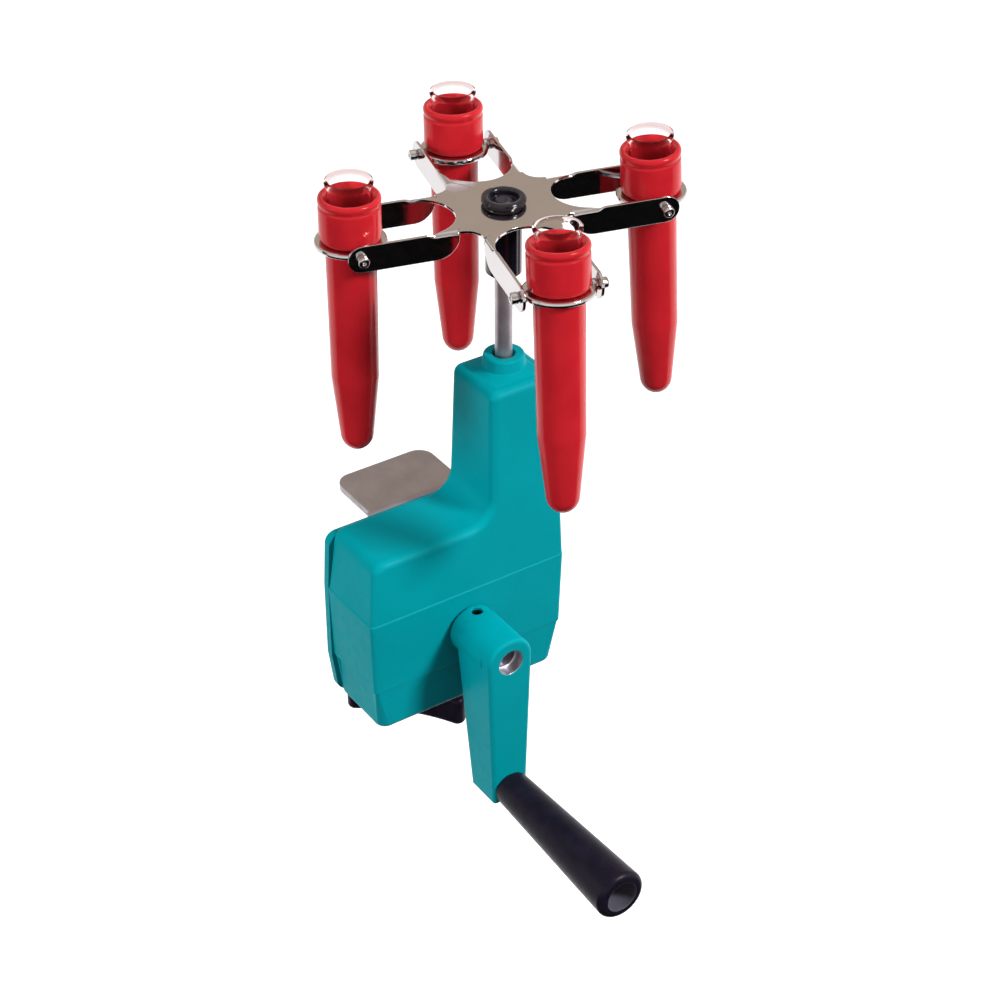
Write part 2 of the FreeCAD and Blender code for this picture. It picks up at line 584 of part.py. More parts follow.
bolt_head_y = handle_recess_y - end_float
handle_bolt = cylinder(handle_bolt_r, handle_bolt_back_y, bolt_head_y, Y_AXIS, handle_at).fuse(
    cylinder(handle_head_r, bolt_head_y, bolt_head_y - handle_head_h, Y_AXIS, handle_at))
handle_bolt = handle_bolt.cut(
    hexagon(handle_hex_r, bolt_head_y - handle_head_h, handle_hex_deep, Y_AXIS, handle_at))
handle_grip = cone(handle_r[1], handle_r[0], handle_y[1], handle_y[0], Y_AXIS, handle_at)
outer_rim = [e for e in handle_grip.Edges if all(abs(v.Y - handle_y[1]) < 1e-4 for v in e.Vertexes)]
root_rim = [e for e in handle_grip.Edges if all(abs(v.Y - handle_y[0]) < 1e-4 for v in e.Vertexes)]
handle_grip = handle_grip.makeFillet(handle_end_round, outer_rim)
root_rim = [e for e in handle_grip.Edges if all(abs(v.Y - handle_y[0]) < 1e-4 for v in e.Vertexes)]
handle_grip = handle_grip.makeFillet(handle_root_round, root_rim)
handle_grip = handle_grip.cut([
    cylinder(handle_bolt_r + running, handle_y[0] + 1, handle_y[1] - 1, Y_AXIS, handle_at),
    cylinder(handle_recess_r, handle_recess_y, handle_y[1] - 1, Y_AXIS, handle_at)])

# Spindle with its collar, hub sleeve and hub nut.
spindle = cylinder(spindle_r, foot_bush_bottom_z, spindle_top_z, Z_AXIS, spindle_at)
spindle = spindle.cut(Part.makeBox(4 * spindle_r, spindle_slot[0], spindle_slot[1] + 1,
                                   V(spindle_x - 2 * spindle_r, spindle_y - spindle_slot[0] / 2,
                                     spindle_top_z - spindle_slot[1])))
collar_top_z = top_bush_z[0] - end_float
collar = cylinder(collar_r, collar_top_z - collar_h, collar_top_z, Z_AXIS, spindle_at).cut(
    cylinder(spindle_r, collar_top_z - collar_h - 1, collar_top_z + 1, Z_AXIS, spindle_at))
plate_low_z = plate_top_z - sheet
sleeve = cylinder(sleeve_r, sleeve_bottom_z, plate_low_z, Z_AXIS, spindle_at).fuse(
    cylinder(sleeve_flange_r, plate_low_z - sleeve_flange_h, plate_low_z, Z_AXIS, spindle_at))
sleeve = sleeve.makeChamfer(0.8, level_edges(sleeve, sleeve_bottom_z)).cut(
    cylinder(spindle_r, sleeve_bottom_z - 1, plate_low_z + 1, Z_AXIS, spindle_at))
hub_nut = cylinder(nut_outer_r, plate_top_z, plate_top_z + nut_height, Z_AXIS, spindle_at)
hub_nut = hub_nut.makeFillet(nut_edge, level_edges(hub_nut, plate_top_z + nut_height))
hub_nut = hub_nut.cut([
    cylinder(spindle_r, plate_top_z - 1, plate_top_z + nut_height + 1, Z_AXIS, spindle_at),
    cylinder(nut_recess_r, plate_top_z + nut_height - nut_recess_deep, plate_top_z + nut_height + 1, Z_AXIS,
             spindle_at)])

# Rotor star: one pressed sheet, flat in the middle, its eight strips bent down as four forks.
# It is drawn at the origin with its first fork along +X, then turned and lifted to the spindle.
top = plate_top_z - pivot_z
low = top - sheet


def fork_walls():
    """Two upright strips with their bends, straight out along +X."""
    outer = bend_inner + sheet
    shift = strip_half
    corner = V(0, shift - outer, top - outer)
    turn = math.sqrt(0.5)
    section = Part.Wire([
        Part.LineSegment(V(0, shift - outer - 2, top), V(0, shift - outer, top)).toShape(),
        Part.Arc(V(0, shift - outer, top), corner + V(0, outer * turn, outer * turn), V(0, shift, top - outer)).toShape(),
        Part.LineSegment(V(0, shift, top - outer), V(0, shift, -strip_end_r)).toShape(),
        Part.LineSegment(V(0, shift, -strip_end_r), V(0, shift - sheet, -strip_end_r)).toShape(),
        Part.LineSegment(V(0, shift - sheet, -strip_end_r), V(0, shift - sheet, top - outer)).toShape(),
        Part.Arc(V(0, shift - sheet, top - outer), corner + V(0, bend_inner * turn, bend_inner * turn),
                 V(0, shift - outer, low)).toShape(),
        Part.LineSegment(V(0, shift - outer, low), V(0, shift - outer - 2, low)).toShape(),
        Part.LineSegment(V(0, shift - outer - 2, low), V(0, shift - outer - 2, top)).toShape()])
    long_strip = Part.Face(section).extrude(V(pivot_radius + strip_end_r, 0, 0))
    heel_r = strip_heel - strip_start
    corner_turn = math.sqrt(0.5)
    side = Part.Wire([
        Part.LineSegment(V(strip_start, 0, top + 1), V(pivot_radius, 0, top + 1)).toShape(),
        Part.LineSegment(V(pivot_radius, 0, top + 1), V(pivot_radius, 0, strip_end_r)).toShape(),
        Part.Arc(V(pivot_radius, 0, strip_end_r), V(pivot_radius + strip_end_r, 0, 0),
                 V(pivot_radius, 0, -strip_end_r)).toShape(),
        Part.LineSegment(V(pivot_radius, 0, -strip_end_r), V(strip_heel, 0, -strip_end_r)).toShape(),
        Part.Arc(V(strip_heel, 0, -strip_end_r),
                 V(strip_heel - heel_r * corner_turn, 0, -strip_end_r + heel_r * (1 - corner_turn)),
                 V(strip_start, 0, -strip_end_r + heel_r)).toShape(),
        Part.LineSegment(V(strip_start, 0, -strip_end_r + heel_r), V(strip_start, 0, top + 1)).toShape()])
    keep = Part.Face(side).extrude(V(0, 40, 0))
    wall = long_strip.common(keep)
    return wall.fuse(wall.mirror(V(0, 0, 0), Y_AXIS))


flat_half = strip_half - bend_inner - sheet
arm_plan_box = Part.makeBox(2 * strip_heel, 2 * strip_half, sheet, V(-strip_heel, -strip_half, low))
side_plan_box = Part.makeBox(2 * strip_half, 2 * strip_heel, sheet, V(-strip_half, -strip_heel, low))
centre_plate = arm_plan_box.fuse(side_plan_box)
for n in range(4):
    quarter = 90 * n
    fillet_block = Part.makeBox(corner_arc_r, corner_arc_r, sheet, V(strip_half, strip_half, low))
    round_at = V(strip_half + corner_arc_r, strip_half + corner_arc_r, 0)
    fillet_block = fillet_block.cut(cylinder(corner_arc_r, low - 1, top + 1, Z_AXIS, round_at))
    fillet_block.rotate(V(0, 0, 0), Z_AXIS, quarter)
    centre_plate = centre_plate.fuse(fillet_block)
    trim = Part.makeBox(40, sheet + bend_inner, 9, V(strip_start, flat_half, low - 4))
    trim = trim.fuse(trim.mirror(V(0, 0, 0), Y_AXIS))
    trim.rotate(V(0, 0, 0), Z_AXIS, quarter)
    centre_plate = centre_plate.cut(trim)
rotor = centre_plate
for n in range(4):
    walls = fork_walls()
    walls.rotate(V(0, 0, 0), Z_AXIS, 90 * n)
    rotor = rotor.fuse(walls)
for n in range(4):
    bite = cylinder(fork_arc_r, low - 1, top + 1, Z_AXIS, V(fork_arc_deep + fork_arc_r, 0, 0))
    bite = bite.fuse(Part.makeBox(40, 2 * (strip_half - sheet), 9, V(fork_arc_deep + fork_arc_r, sheet - strip_half, low - 1)))
    pin_hole = cylinder(pin_r + pin_running, -strip_half - 1, strip_half + 1, Y_AXIS, V(pivot_radius, 0, 0))
    bite = bite.fuse(pin_hole)
    bite.rotate(V(0, 0, 0), Z_AXIS, 90 * n)
    rotor = rotor.cut(bite)
rotor = rotor.cut(cylinder(spindle_r, low - 1, top + 1, Z_AXIS, V(0, 0, 0))).removeSplitter()
rotor.rotate(V(0, 0, 0), Z_AXIS, front_fork_deg)
rotor.translate(V(spindle_x, spindle_y, pivot_z))

# Swinging sets: ring with two trunnion pins, bucket, rubber cushion and glass tube.
# Each is drawn upright at its pivot with the trunnions along Y, then leaned, turned and carried out.


def seat(shape, index):
    """Place a piece of the swinging set on fork number index."""
    placed = shape.copy()
    placed.rotate(V(0, 0, 0), Y_AXIS, -bucket_leans[index])
    placed.translate(V(pivot_radius, 0, 0))
    placed.rotate(V(0, 0, 0), Z_AXIS, front_fork_deg + 90 * index)
    placed.translate(V(spindle_x, spindle_y, pivot_z))
    return placed


half_ring = ring_thick / 2
ring_body = turned([
    (ring_inner_r, -half_ring + ring_edge / 2), (ring_inner_r + ring_edge / 2, -half_ring),
    (ring_outer_r - ring_edge, -half_ring), (ring_outer_r - ring_edge * 0.25, -half_ring + ring_edge * 0.35),
    (ring_outer_r, 0), (ring_outer_r - ring_edge * 0.25, half_ring - ring_edge * 0.35),
    (ring_outer_r - ring_edge, half_ring), (ring_inner_r + ring_edge / 2, half_ring),
    (ring_inner_r, half_ring - ring_edge / 2)])
pins = []
for side in (-1, 1):
    lug = cylinder(lug_r, side * lug_span[0], side * lug_span[1], Y_AXIS, V(0, 0, 0))
    ring_body = ring_body.fuse(lug)
for side in (-1, 1):
    ring_body = ring_body.cut(cylinder(pin_r, side * lug_span[0], side * 20, Y_AXIS, V(0, 0, 0)))
    shank = cylinder(pin_r, side * lug_span[0], side * pin_head_span[0], Y_AXIS, V(0, 0, 0))
    head = cylinder(pin_head_r, side * pin_head_span[0], side * pin_head_span[1], Y_AXIS, V(0, 0, 0))
    tip = [e for e in head.Edges if all(abs(v.Y - side * pin_head_span[1]) < 1e-4 for v in e.Vertexes)]
    pins.append(head.makeFillet(pin_head_edge, tip).fuse(shank))

bowl = []
for k in range(1, 7):
    angle = math.radians(90.0 * k / 6)
    bowl.append((bucket_cone_end[0] * math.cos(angle), bucket_cone_end[1] + (bucket_tip_z - bucket_cone_end[1]) * math.sin(angle)))
bucket_points = [(0, bucket_profile_inner[-1][1])] + list(reversed(bucket_profile_inner)) + \
    list(reversed(bucket_profile_outer)) + [bucket_body_low, bucket_cone_end] + bowl[:-1] + [(0, bucket_tip_z)]
bucket = turned(bucket_points)
cushion = turned([(0, cushion_z[0]), (cushion_r, cushion_z[0]), (cushion_r + 0.7, cushion_z[1]), (3.0, cushion_z[1]),
                  (0, cushion_z[1] - 0.5)])
tube = turned([(0, -85.7)] + list(tube_outer) + list(tube_inner) + [(0, -84.3)])

# Write one file per piece.
os.makedirs("parts", exist_ok=True)
write("housing", housing)
write("rear_cover", rear_cover)
write("crank_bush_front", front_bush)
write("crank_bush_rear", rear_bush)
write("spindle_bush_top", top_bush)
write("spindle_bush_foot", foot_bush)
write("clamp_bracket", bracket)
write("clamp_nut", clamp_nut)
write("cover_screws", Part.makeCompound(cover_screws))
write("clamp_pad", pad)
write("clamp_screw", clamp_screw)
write("clamp_knob", knob)
write("crank_shaft", crank_shaft)
write("crank_wheel", wheel)
write("crank_arm", crank_arm)
write("set_screw", set_screw)
write("handle_bolt", handle_bolt)
write("handle_grip", handle_grip)
write("spindle", spindle)
write("spindle_pinion", pinion)
write("spindle_collar", collar)
write("hub_sleeve", sleeve)
write("rotor_star", rotor)
write("hub_nut", hub_nut)
for n in range(4):
    write("ring_%d" % (n + 1), seat(ring_body, n))
    write("ring_pins_%d" % (n + 1), seat(Part.makeCompound(pins), n))
    write("bucket_%d" % (n + 1), seat(bucket, n))
    write("cushion_%d" % (n + 1), seat(cushion, n))
    write("tube_%d" % (n + 1), seat(tube, n))
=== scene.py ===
import math

import bmesh
import bpy
import numpy as np
from mathutils import Matrix, Vector


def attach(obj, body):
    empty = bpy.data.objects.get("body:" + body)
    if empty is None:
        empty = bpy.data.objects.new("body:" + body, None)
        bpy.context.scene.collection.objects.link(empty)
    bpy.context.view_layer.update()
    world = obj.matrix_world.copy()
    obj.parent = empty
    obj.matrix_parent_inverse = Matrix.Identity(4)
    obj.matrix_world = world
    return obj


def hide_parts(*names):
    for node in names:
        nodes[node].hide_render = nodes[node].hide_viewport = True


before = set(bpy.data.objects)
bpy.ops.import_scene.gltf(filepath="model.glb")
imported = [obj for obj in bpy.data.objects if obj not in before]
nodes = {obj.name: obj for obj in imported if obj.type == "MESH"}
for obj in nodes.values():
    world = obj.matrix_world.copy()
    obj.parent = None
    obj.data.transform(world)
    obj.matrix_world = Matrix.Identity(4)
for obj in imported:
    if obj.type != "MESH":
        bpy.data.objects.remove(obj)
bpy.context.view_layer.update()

# The photographer's table. A wide pale floor lies well below the clamped machine, soft boxes light it from
# the right, the left and above, and a dark cloth on the camera's side keeps the plastic and the rotor's
# strips dark where they face the lens.
camera_at = Vector((-0.41351, -0.68844, 0.54931))
camera_turn = math.radians(-33.9)
camera_rise = math.radians(34.67)
camera_lens = 84.74
camera_film = 36.0
camera_back = Vector((math.sin(camera_turn) * math.cos(camera_rise),
                      -math.cos(camera_turn) * math.cos(camera_rise), math.sin(camera_rise)))
camera_right = Vector((math.cos(camera_turn), math.sin(camera_turn), 0.0))
camera_up = camera_back.cross(camera_right)
camera = bpy.data.objects.new("camera", bpy.data.cameras.new("camera"))
bpy.context.scene.collection.objects.link(camera)
camera.matrix_world = Matrix.Translation(camera_at) @ Matrix(
    (camera_right, camera_up, camera_back)).transposed().to_4x4()
camera.data.lens = camera_lens
camera.data.sensor_width = camera_film
camera.data.clip_start = 0.05
camera.data.clip_end = 80.0
bpy.context.scene.camera = camera
bpy.context.scene.view_settings.view_transform = "Standard"


def level_sheet(name, corners, height, colour, glow):
    """A flat four-cornered sheet at one height, facing up, that glows with a strength of its own."""
    mesh = bpy.data.meshes.new(name)
    points = np.column_stack([np.array(corners, float), np.full(4, height)])
    mesh.from_pydata(points.tolist(), [], [(0, 1, 2, 3)])
    mesh.update()
    sheet = bpy.data.objects.new(name, mesh)
    bpy.context.scene.collection.objects.link(sheet)
    paper = bpy.data.materials.new(name)
    paper.use_nodes = True
    skin = paper.node_tree.nodes["Principled BSDF"]
    skin.inputs["Base Color"].default_value = (*colour, 1.0)
    skin.inputs["Roughness"].default_value = 0.9
    skin.inputs["Specular IOR Level"].default_value = 0.0
    skin.inputs["Emission Color"].default_value = (1.0, 0.995, 0.99, 1.0)
    skin.inputs["Emission Strength"].default_value = glow
    mesh.materials.append(paper)
    return sheet


floor_height = -0.45
floor_reach = 40.0
floor = level_sheet("floor", [(-floor_reach, -floor_reach), (floor_reach, -floor_reach),
                              (floor_reach, floor_reach), (-floor_reach, floor_reach)],
                    floor_height, (0.35, 0.35, 0.35), 0.97)
floor.visible_diffuse = False

# The dark cloth covers the camera's side of the floor, and only mirrors and gloss see it.
towards = Vector((camera_back.x, camera_back.y)).normalized()
across = Vector((-towards.y, towards.x))
cloth_near = 0.02
cloth_far = 4.0
cloth_half = 5.0
cloth_corners = [towards * cloth_near + across * cloth_half, towards * cloth_near - across * cloth_half,
                 towards * cloth_far - across * cloth_half, towards * cloth_far + across * cloth_half]
cloth = level_sheet("dark_cloth", [tuple(c) for c in cloth_corners], floor_height + 0.01,
                    (0.002, 0.002, 0.002), 0.0)
cloth.visible_camera = False
cloth.visible_diffuse = False
cloth.visible_shadow = False
cloth.visible_transmission = False


machine_middle = Vector((0.0, -0.04, 0.0))


def soft_box(name, towards_it, distance, size, power, in_gloss=True):
    """A square lamp that stands in one direction from the machine's middle and faces it."""
    lamp = bpy.data.lights.new(name, "AREA")
    lamp.size = size
    lamp.energy = power
    box = bpy.data.objects.new(name, lamp)
    bpy.context.scene.collection.objects.link(box)
    way = Vector(towards_it).normalized()
    box.location = machine_middle + way * distance
    box.rotation_mode = "QUATERNION"
    box.rotation_quaternion = way.to_track_quat("Z", "Y")
    box.visible_glossy = in_gloss
    return box


soft_box("key_box", (0.31, -0.60, 0.50), 1.6, 0.34, 30.0)
soft_box("left_box", (-1.0, 0.12, 0.25), 1.5, 0.9, 17.5, in_gloss=False)
soft_box("right_box", (1.0, 0.05, 0.15), 1.5, 0.9, 14.0, in_gloss=False)
soft_box("top_box", (-0.15, 0.05, 1.0), 1.5, 0.8, 6.5, in_gloss=False)
soft_box("front_box", (-0.5577, -0.83, 0.35), 1.6, 0.9, 1.5, in_gloss=False)

# The room is white where the lens or the glass looks straight at it. Mirrors see it white at eye level and
# grey above, and matt surfaces get only a little of its light, so that the lamps shape them.
room = bpy.data.worlds.new("room")
room.use_nodes = True
bpy.context.scene.world = room
air = room.node_tree
way_node = air.nodes.new("ShaderNodeTexCoord")
split_node = air.nodes.new("ShaderNodeSeparateXYZ")
tint_node = air.nodes.new("ShaderNodeValToRGB")
air.links.new(way_node.outputs["Generated"], split_node.inputs[0])
air.links.new(split_node.outputs["Z"], tint_node.inputs["Fac"])
air.links.new(tint_node.outputs["Color"], air.nodes["Background"].inputs["Color"])
which_node = air.nodes.new("ShaderNodeLightPath")
so_far = air.nodes["Background"].outputs[0]
for ray, glow in (("Is Transmission Ray", (1.0, 1.0, 1.0)), ("Is Camera Ray", (1.0, 1.0, 1.0)),
                  ("Is Diffuse Ray", (0.10, 0.10, 0.103))):
    plain_node = air.nodes.new("ShaderNodeBackground")
    plain_node.inputs["Color"].default_value = (*glow, 1.0)
    either_node = air.nodes.new("ShaderNodeMixShader")
    air.links.new(which_node.outputs[ray], either_node.inputs["Fac"])
    air.links.new(so_far, either_node.inputs[1])
    air.links.new(plain_node.outputs[0], either_node.inputs[2])
    so_far = either_node.outputs[0]
air.links.new(so_far, air.nodes["World Output"].inputs["Surface"])
room_stops = [(0.0, (0.30, 0.30, 0.30)), (0.002, (1.0, 1.0, 1.0)), (0.16, (1.0, 1.0, 1.0)),
              (0.34, (0.545, 0.465, 0.375)), (0.78, (0.545, 0.465, 0.375)), (0.93, (0.80, 0.80, 0.81))]
bands = tint_node.color_ramp.elements
bands[0].position, bands[0].color = room_stops[0][0], (*room_stops[0][1], 1.0)
bands[1].position, bands[1].color = room_stops[-1][0], (*room_stops[-1][1], 1.0)
for place, colour in room_stops[1:-1]:
    stop = bands.new(place)
    stop.color = (*colour, 1.0)

# Housing, rear cover and crank arm. Three light-alloy castings in one sprayed coat of turquoise enamel,
# which lies a little unevenly, thins on the edges, and is left off the bores that are machined afterwards.


def new_finish(name, colour, rough, metal=0.0, gloss=0.5):
    """A surface with one colour, roughness, metalness and specular level to start from."""
    mat = bpy.data.materials.new(name)
    mat.use_nodes = True
    skin = mat.node_tree.nodes["Principled BSDF"]
    skin.inputs["Base Color"].default_value = (*colour, 1.0)
    skin.inputs["Roughness"].default_value = rough
    skin.inputs["Metallic"].default_value = metal
    skin.inputs["Specular IOR Level"].default_value = gloss
    return mat, skin


def grain(mat, size, draw=(1.0, 1.0, 1.0), detail=3.0):
    """Noise over Object coordinates. size is its coarsest mark in metres, and an axis of draw below 1
    lengthens it."""
    tree = mat.node_tree
    spot = tree.nodes.new("ShaderNodeTexCoord")
    stretch = tree.nodes.new("ShaderNodeMapping")
    stretch.inputs["Scale"].default_value = draw
    noise = tree.nodes.new("ShaderNodeTexNoise")
    noise.inputs["Scale"].default_value = 1.0 / size
    noise.inputs["Detail"].default_value = detail
    tree.links.new(spot.outputs["Object"], stretch.inputs["Vector"])
    tree.links.new(stretch.outputs["Vector"], noise.inputs["Vector"])
    return noise.outputs["Fac"]


def tint(mat, factor, stops):
    """Colour ramp from a factor; stops are (place, (r, g, b))."""
    ramp = mat.node_tree.nodes.new("ShaderNodeValToRGB")
    ends = ramp.color_ramp.elements
    ends[0].position, ends[0].color = stops[0][0], (*stops[0][1], 1.0)
    ends[1].position, ends[1].color = stops[-1][0], (*stops[-1][1], 1.0)
    for place, colour in stops[1:-1]:
        ends.new(place).color = (*colour, 1.0)
    mat.node_tree.links.new(factor, ramp.inputs["Fac"])
    return ramp.outputs["Color"]


def spread(mat, factor, low, high, start=0.3, end=0.7):
    """A factor between start and end mapped to the range low to high."""
    span = mat.node_tree.nodes.new("ShaderNodeMapRange")
    for socket, value in (("From Min", start), ("From Max", end), ("To Min", low), ("To Max", high)):
        span.inputs[socket].default_value = value
    mat.node_tree.links.new(factor, span.inputs["Value"])
    return span.outputs["Result"]


def blended(mat, factor, first, second):
    """Colour first where the factor is 0 and second where it is 1; either may be a socket or a colour."""
    mix = mat.node_tree.nodes.new("ShaderNodeMix")
    mix.data_type = "RGBA"
    mat.node_tree.links.new(factor, mix.inputs["Factor"])
    for colour, end in ((first, mix.inputs[6]), (second, mix.inputs[7])):
        if isinstance(colour, tuple):
            end.default_value = (*colour, 1.0)
        else:
            mat.node_tree.links.new(colour, end)
    return mix.outputs[2]


def eased_edges(mat, radius):
    """(normal, mask): the surface normal rounded over edges, and a mask that is 1 where the rounding
    turns it."""
    tree = mat.node_tree
    bevel = tree.nodes.new("ShaderNodeBevel")
    bevel.samples = 6
    bevel.inputs["Radius"].default_value = radius
    true = tree.nodes.new("ShaderNodeNewGeometry")
    turn = tree.nodes.new("ShaderNodeVectorMath")
    turn.operation = "DOT_PRODUCT"
    tree.links.new(bevel.outputs["Normal"], turn.inputs[0])
    tree.links.new(true.outputs["Normal"], turn.inputs[1])
    mask = spread(mat, turn.outputs["Value"], 1.0, 0.0, 0.80, 0.985)
    return bevel.outputs["Normal"], mask


def relief(mat, skin, height, depth, normal=None):
    """Bump from a height factor, depth in metres, laid over a rounded normal where one is given."""
    bump = mat.node_tree.nodes.new("ShaderNodeBump")
    bump.inputs["Strength"].default_value = 1.0
    bump.inputs["Distance"].default_value = depth
    mat.node_tree.links.new(height, bump.inputs["Height"])
    if normal is not None:
        mat.node_tree.links.new(normal, bump.inputs["Normal"])
    mat.node_tree.links.new(bump.outputs["Normal"], skin.inputs["Normal"])


def height_in(mat):
    """The height above the bench in the piece's own coordinates, in metres."""
    spot = mat.node_tree.nodes.new("ShaderNodeTexCoord")
    parts = mat.node_tree.nodes.new("ShaderNodeSeparateXYZ")
    mat.node_tree.links.new(spot.outputs["Object"], parts.inputs[0])
    return parts.outputs["Z"]


def off_axis(mat, level):
    """The distance in metres from a line that runs front to back at one level, below or above the origin."""
    spot = mat.node_tree.nodes.new("ShaderNodeTexCoord")
    flat = mat.node_tree.nodes.new("ShaderNodeMapping")
    flat.inputs["Location"].default_value = (0.0, 0.0, -level)
    flat.inputs["Scale"].default_value = (1.0, 0.0, 1.0)
    reach = mat.node_tree.nodes.new("ShaderNodeVectorMath")
    reach.operation = "LENGTH"
    mat.node_tree.links.new(spot.outputs["Object"], flat.inputs["Vector"])
    mat.node_tree.links.new(flat.outputs["Vector"], reach.inputs[0])
    return reach.outputs["Value"]


def wear(node, mat):
    """Gives a carried-over piece its finish through its object's slots."""
    for place in nodes[node].material_slots:
        place.link = "OBJECT"
        place.material = mat


enamel, skin = new_finish("turquoise_enamel", (0.0, 0.278, 0.322), 0.4, gloss=0.03)
links = enamel.node_tree.links
body = tint(enamel, grain(enamel, 0.03), [(0.35, (0.0, 0.268, 0.309)), (0.65, (0.0, 0.288, 0.335))])
round_normal, edge = eased_edges(enamel, 0.0007)
thin = spread(enamel, edge, 0.0, 0.25, 0.0, 1.0)
coat = blended(enamel, thin, body, (0.03, 0.36, 0.39))
# Inside the arm's machined bore round the crank axis the metal is bare.
crank_level = -0.0379
bore_edge = (0.00562, 0.00568)
bare = spread(enamel, off_axis(enamel, crank_level), 1.0, 0.0, *bore_edge)
links.new(blended(enamel, bare, coat, (0.60, 0.60, 0.64)), skin.inputs["Base Color"])
links.new(bare, skin.inputs["Metallic"])
links.new(spread(enamel, grain(enamel, 0.004), 0.34, 0.46), skin.inputs["Roughness"])
relief(enamel, skin, grain(enamel, 0.0022, detail=2.0), 0.00006, round_normal)
wear("crank_arm", enamel)


def put_mesh(name, points, faces, finish_on, smooth_below=40.0):
    """A mesh from points in millimetres and a face table, smooth except over edges sharper than the angle."""
    mesh = bpy.data.meshes.new(name)
    corners = faces.tolist() if isinstance(faces, np.ndarray) else faces
    mesh.from_pydata((points * 0.001).tolist(), [], corners)
    mesh.materials.append(finish_on)
    mesh.validate()
    mesh.shade_smooth()
    mesh.set_sharp_from_angle(angle=math.radians(smooth_below))
    piece = bpy.data.objects.new(name, mesh)
    bpy.context.scene.collection.objects.link(piece)
    return piece


def joined_up(node):
    """(points in millimetres, triangles) of a carried-over piece, its loose triangles joined where they
    meet."""
    mesh = nodes[node].data
    points = np.empty(len(mesh.vertices) * 3, np.float32)
    mesh.vertices.foreach_get("co", points)
    corners = np.empty(len(mesh.loops), np.int64)
    mesh.loops.foreach_get("vertex_index", corners)
    points = points.reshape(-1, 3).astype(float) * 1000.0
    _, first, same = np.unique(np.round(points, 3), axis=0, return_index=True, return_inverse=True)
    triangles = same.reshape(-1)[corners.reshape(-1, 3)]
    a, b, c = triangles.T
    return points[first], triangles[(a != b) & (b != c) & (c != a)]


def even_light(piece):
    """Lets the large flat faces rule the shading, so that fillets beside them stay smooth."""
    weigh = piece.modifiers.new("even_light", "WEIGHTED_NORMAL")
    weigh.keep_sharp = True


spindle_x = 28.6
case_middle_y = -33.0
band_top, band_bottom, foot_bottom = -20.3, -54.8, -74.3
cast_corner = 5.0
filed_corner = 1.8
foot_drop = 1.3
flank_out = 0.9
flank_from, flank_ease = 34.0, 9.0
boss_inside, boss_outside = 6.9, 10.3
boss_foot, roof_level = 65.0, 66.0
boss_share = 0.93
roof_rise = 1.9


def case_halves(z):
    """Half width and half depth of the gear case at a height: straight tapers on the band and on the foot."""
    on_band = z > band_bottom - 0.001
    wide = np.where(on_band, np.interp(z, (band_bottom, band_top), (45.3, 46.4)),
                    np.interp(z, (foot_bottom, band_bottom), (42.7, 43.9)))
    deep = np.where(on_band, np.interp(z, (band_bottom, band_top), (18.0, 18.3)),
                    np.interp(z, (foot_bottom, band_bottom), (16.8, 17.2)))
    return wide, deep


def lowered(z):
    """The foot drawn out downwards in proportion to its distance below the band."""
    return np.where(z < band_bottom, z + foot_drop * (z - band_bottom) / (band_bottom - foot_bottom), z)


points, faces = joined_up("housing")
x, y, z = points[:, 0].copy(), points[:, 1] - case_middle_y, points[:, 2].copy()
wide, deep = case_halves(z)
# The case's upright corners are filed from their cast radius to a tighter one: each point of the corner's arc
# keeps its direction from a centre that moves out towards the corner.
over_x = np.abs(x) - (wide - cast_corner)
over_y = np.abs(y) - (deep - cast_corner)
hair = 0.01
on_band = (z < band_top + hair) & (z > band_bottom - hair)
on_corner = on_band & (over_x > 0) & (over_y > 0)
shift = cast_corner - filed_corner
new_x = (wide - cast_corner) + shift + over_x * filed_corner / cast_corner
new_y = (deep - cast_corner) + shift + over_y * filed_corner / cast_corner
x = np.where(on_corner, np.sign(x) * new_x, x)
y = np.where(on_corner & (y < 0), -new_y, y)
# The right flank above the band stands out a little more than it was drawn, easing in over the neck's width.
x = np.where(z > band_top + hair, x + flank_out * np.clip((x - flank_from) / flank_ease, 0.0, 1.0), x)
# The neck's top rises like a low hipped roof to the foot of the spindle boss, which is a little slimmer.
from_spindle = np.hypot(x - spindle_x, y)
boss_skin = (from_spindle > boss_inside) & (from_spindle < boss_outside) & (z > boss_foot)
slim = np.where(boss_skin, boss_share, 1.0)
x = spindle_x + (x - spindle_x) * slim
y = y * slim
z = np.where(boss_skin & (z < roof_level), z + roof_rise, z)
cast_points = np.column_stack([x, y + case_middle_y, lowered(z)])
casting = put_mesh("housing_casting", cast_points, faces, enamel, 32.0)
even_light(casting)
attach(casting, "base")
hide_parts("housing")

# The cover is drawn out to the casting's full width and stands a little proud of the strap that crosses it.
cover_face_y = -17.9
cover_edge_y = -17.0
cover_wider = 1.028
cover_proud = 0.9
strap_clear_x = 30.0
points, faces = joined_up("rear_cover")
x, y, z = points.T
x = np.where(y > cover_face_y, x * cover_wider, x)
y = np.where((y > cover_edge_y) & (np.abs(x) > strap_clear_x), y + cover_proud, y)
cover = put_mesh("cover_casting", np.column_stack([x, y, lowered(z)]), faces, enamel, 32.0)
even_light(cover)
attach(cover, "base")
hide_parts("rear_cover")

# Shaft bushes. Four plain sintered-bronze sleeves pressed into the castings, dark with oil.
bronze, skin = new_finish("oiled_bronze", (0.48, 0.30, 0.14), 0.35, metal=1.0)
links = bronze.node_tree.links
links.new(tint(bronze, grain(bronze, 0.0012), [(0.3, (0.30, 0.18, 0.08)), (0.7, (0.55, 0.36, 0.17))]),
          skin.inputs["Base Color"])
links.new(spread(bronze, grain(bronze, 0.003), 0.28, 0.5), skin.inputs["Roughness"])
relief(bronze, skin, grain(bronze, 0.0006), 0.00002)
for name in ("crank_bush_front", "crank_bush_rear", "spindle_bush_top", "spindle_bush_foot"):
    wear(name, bronze)

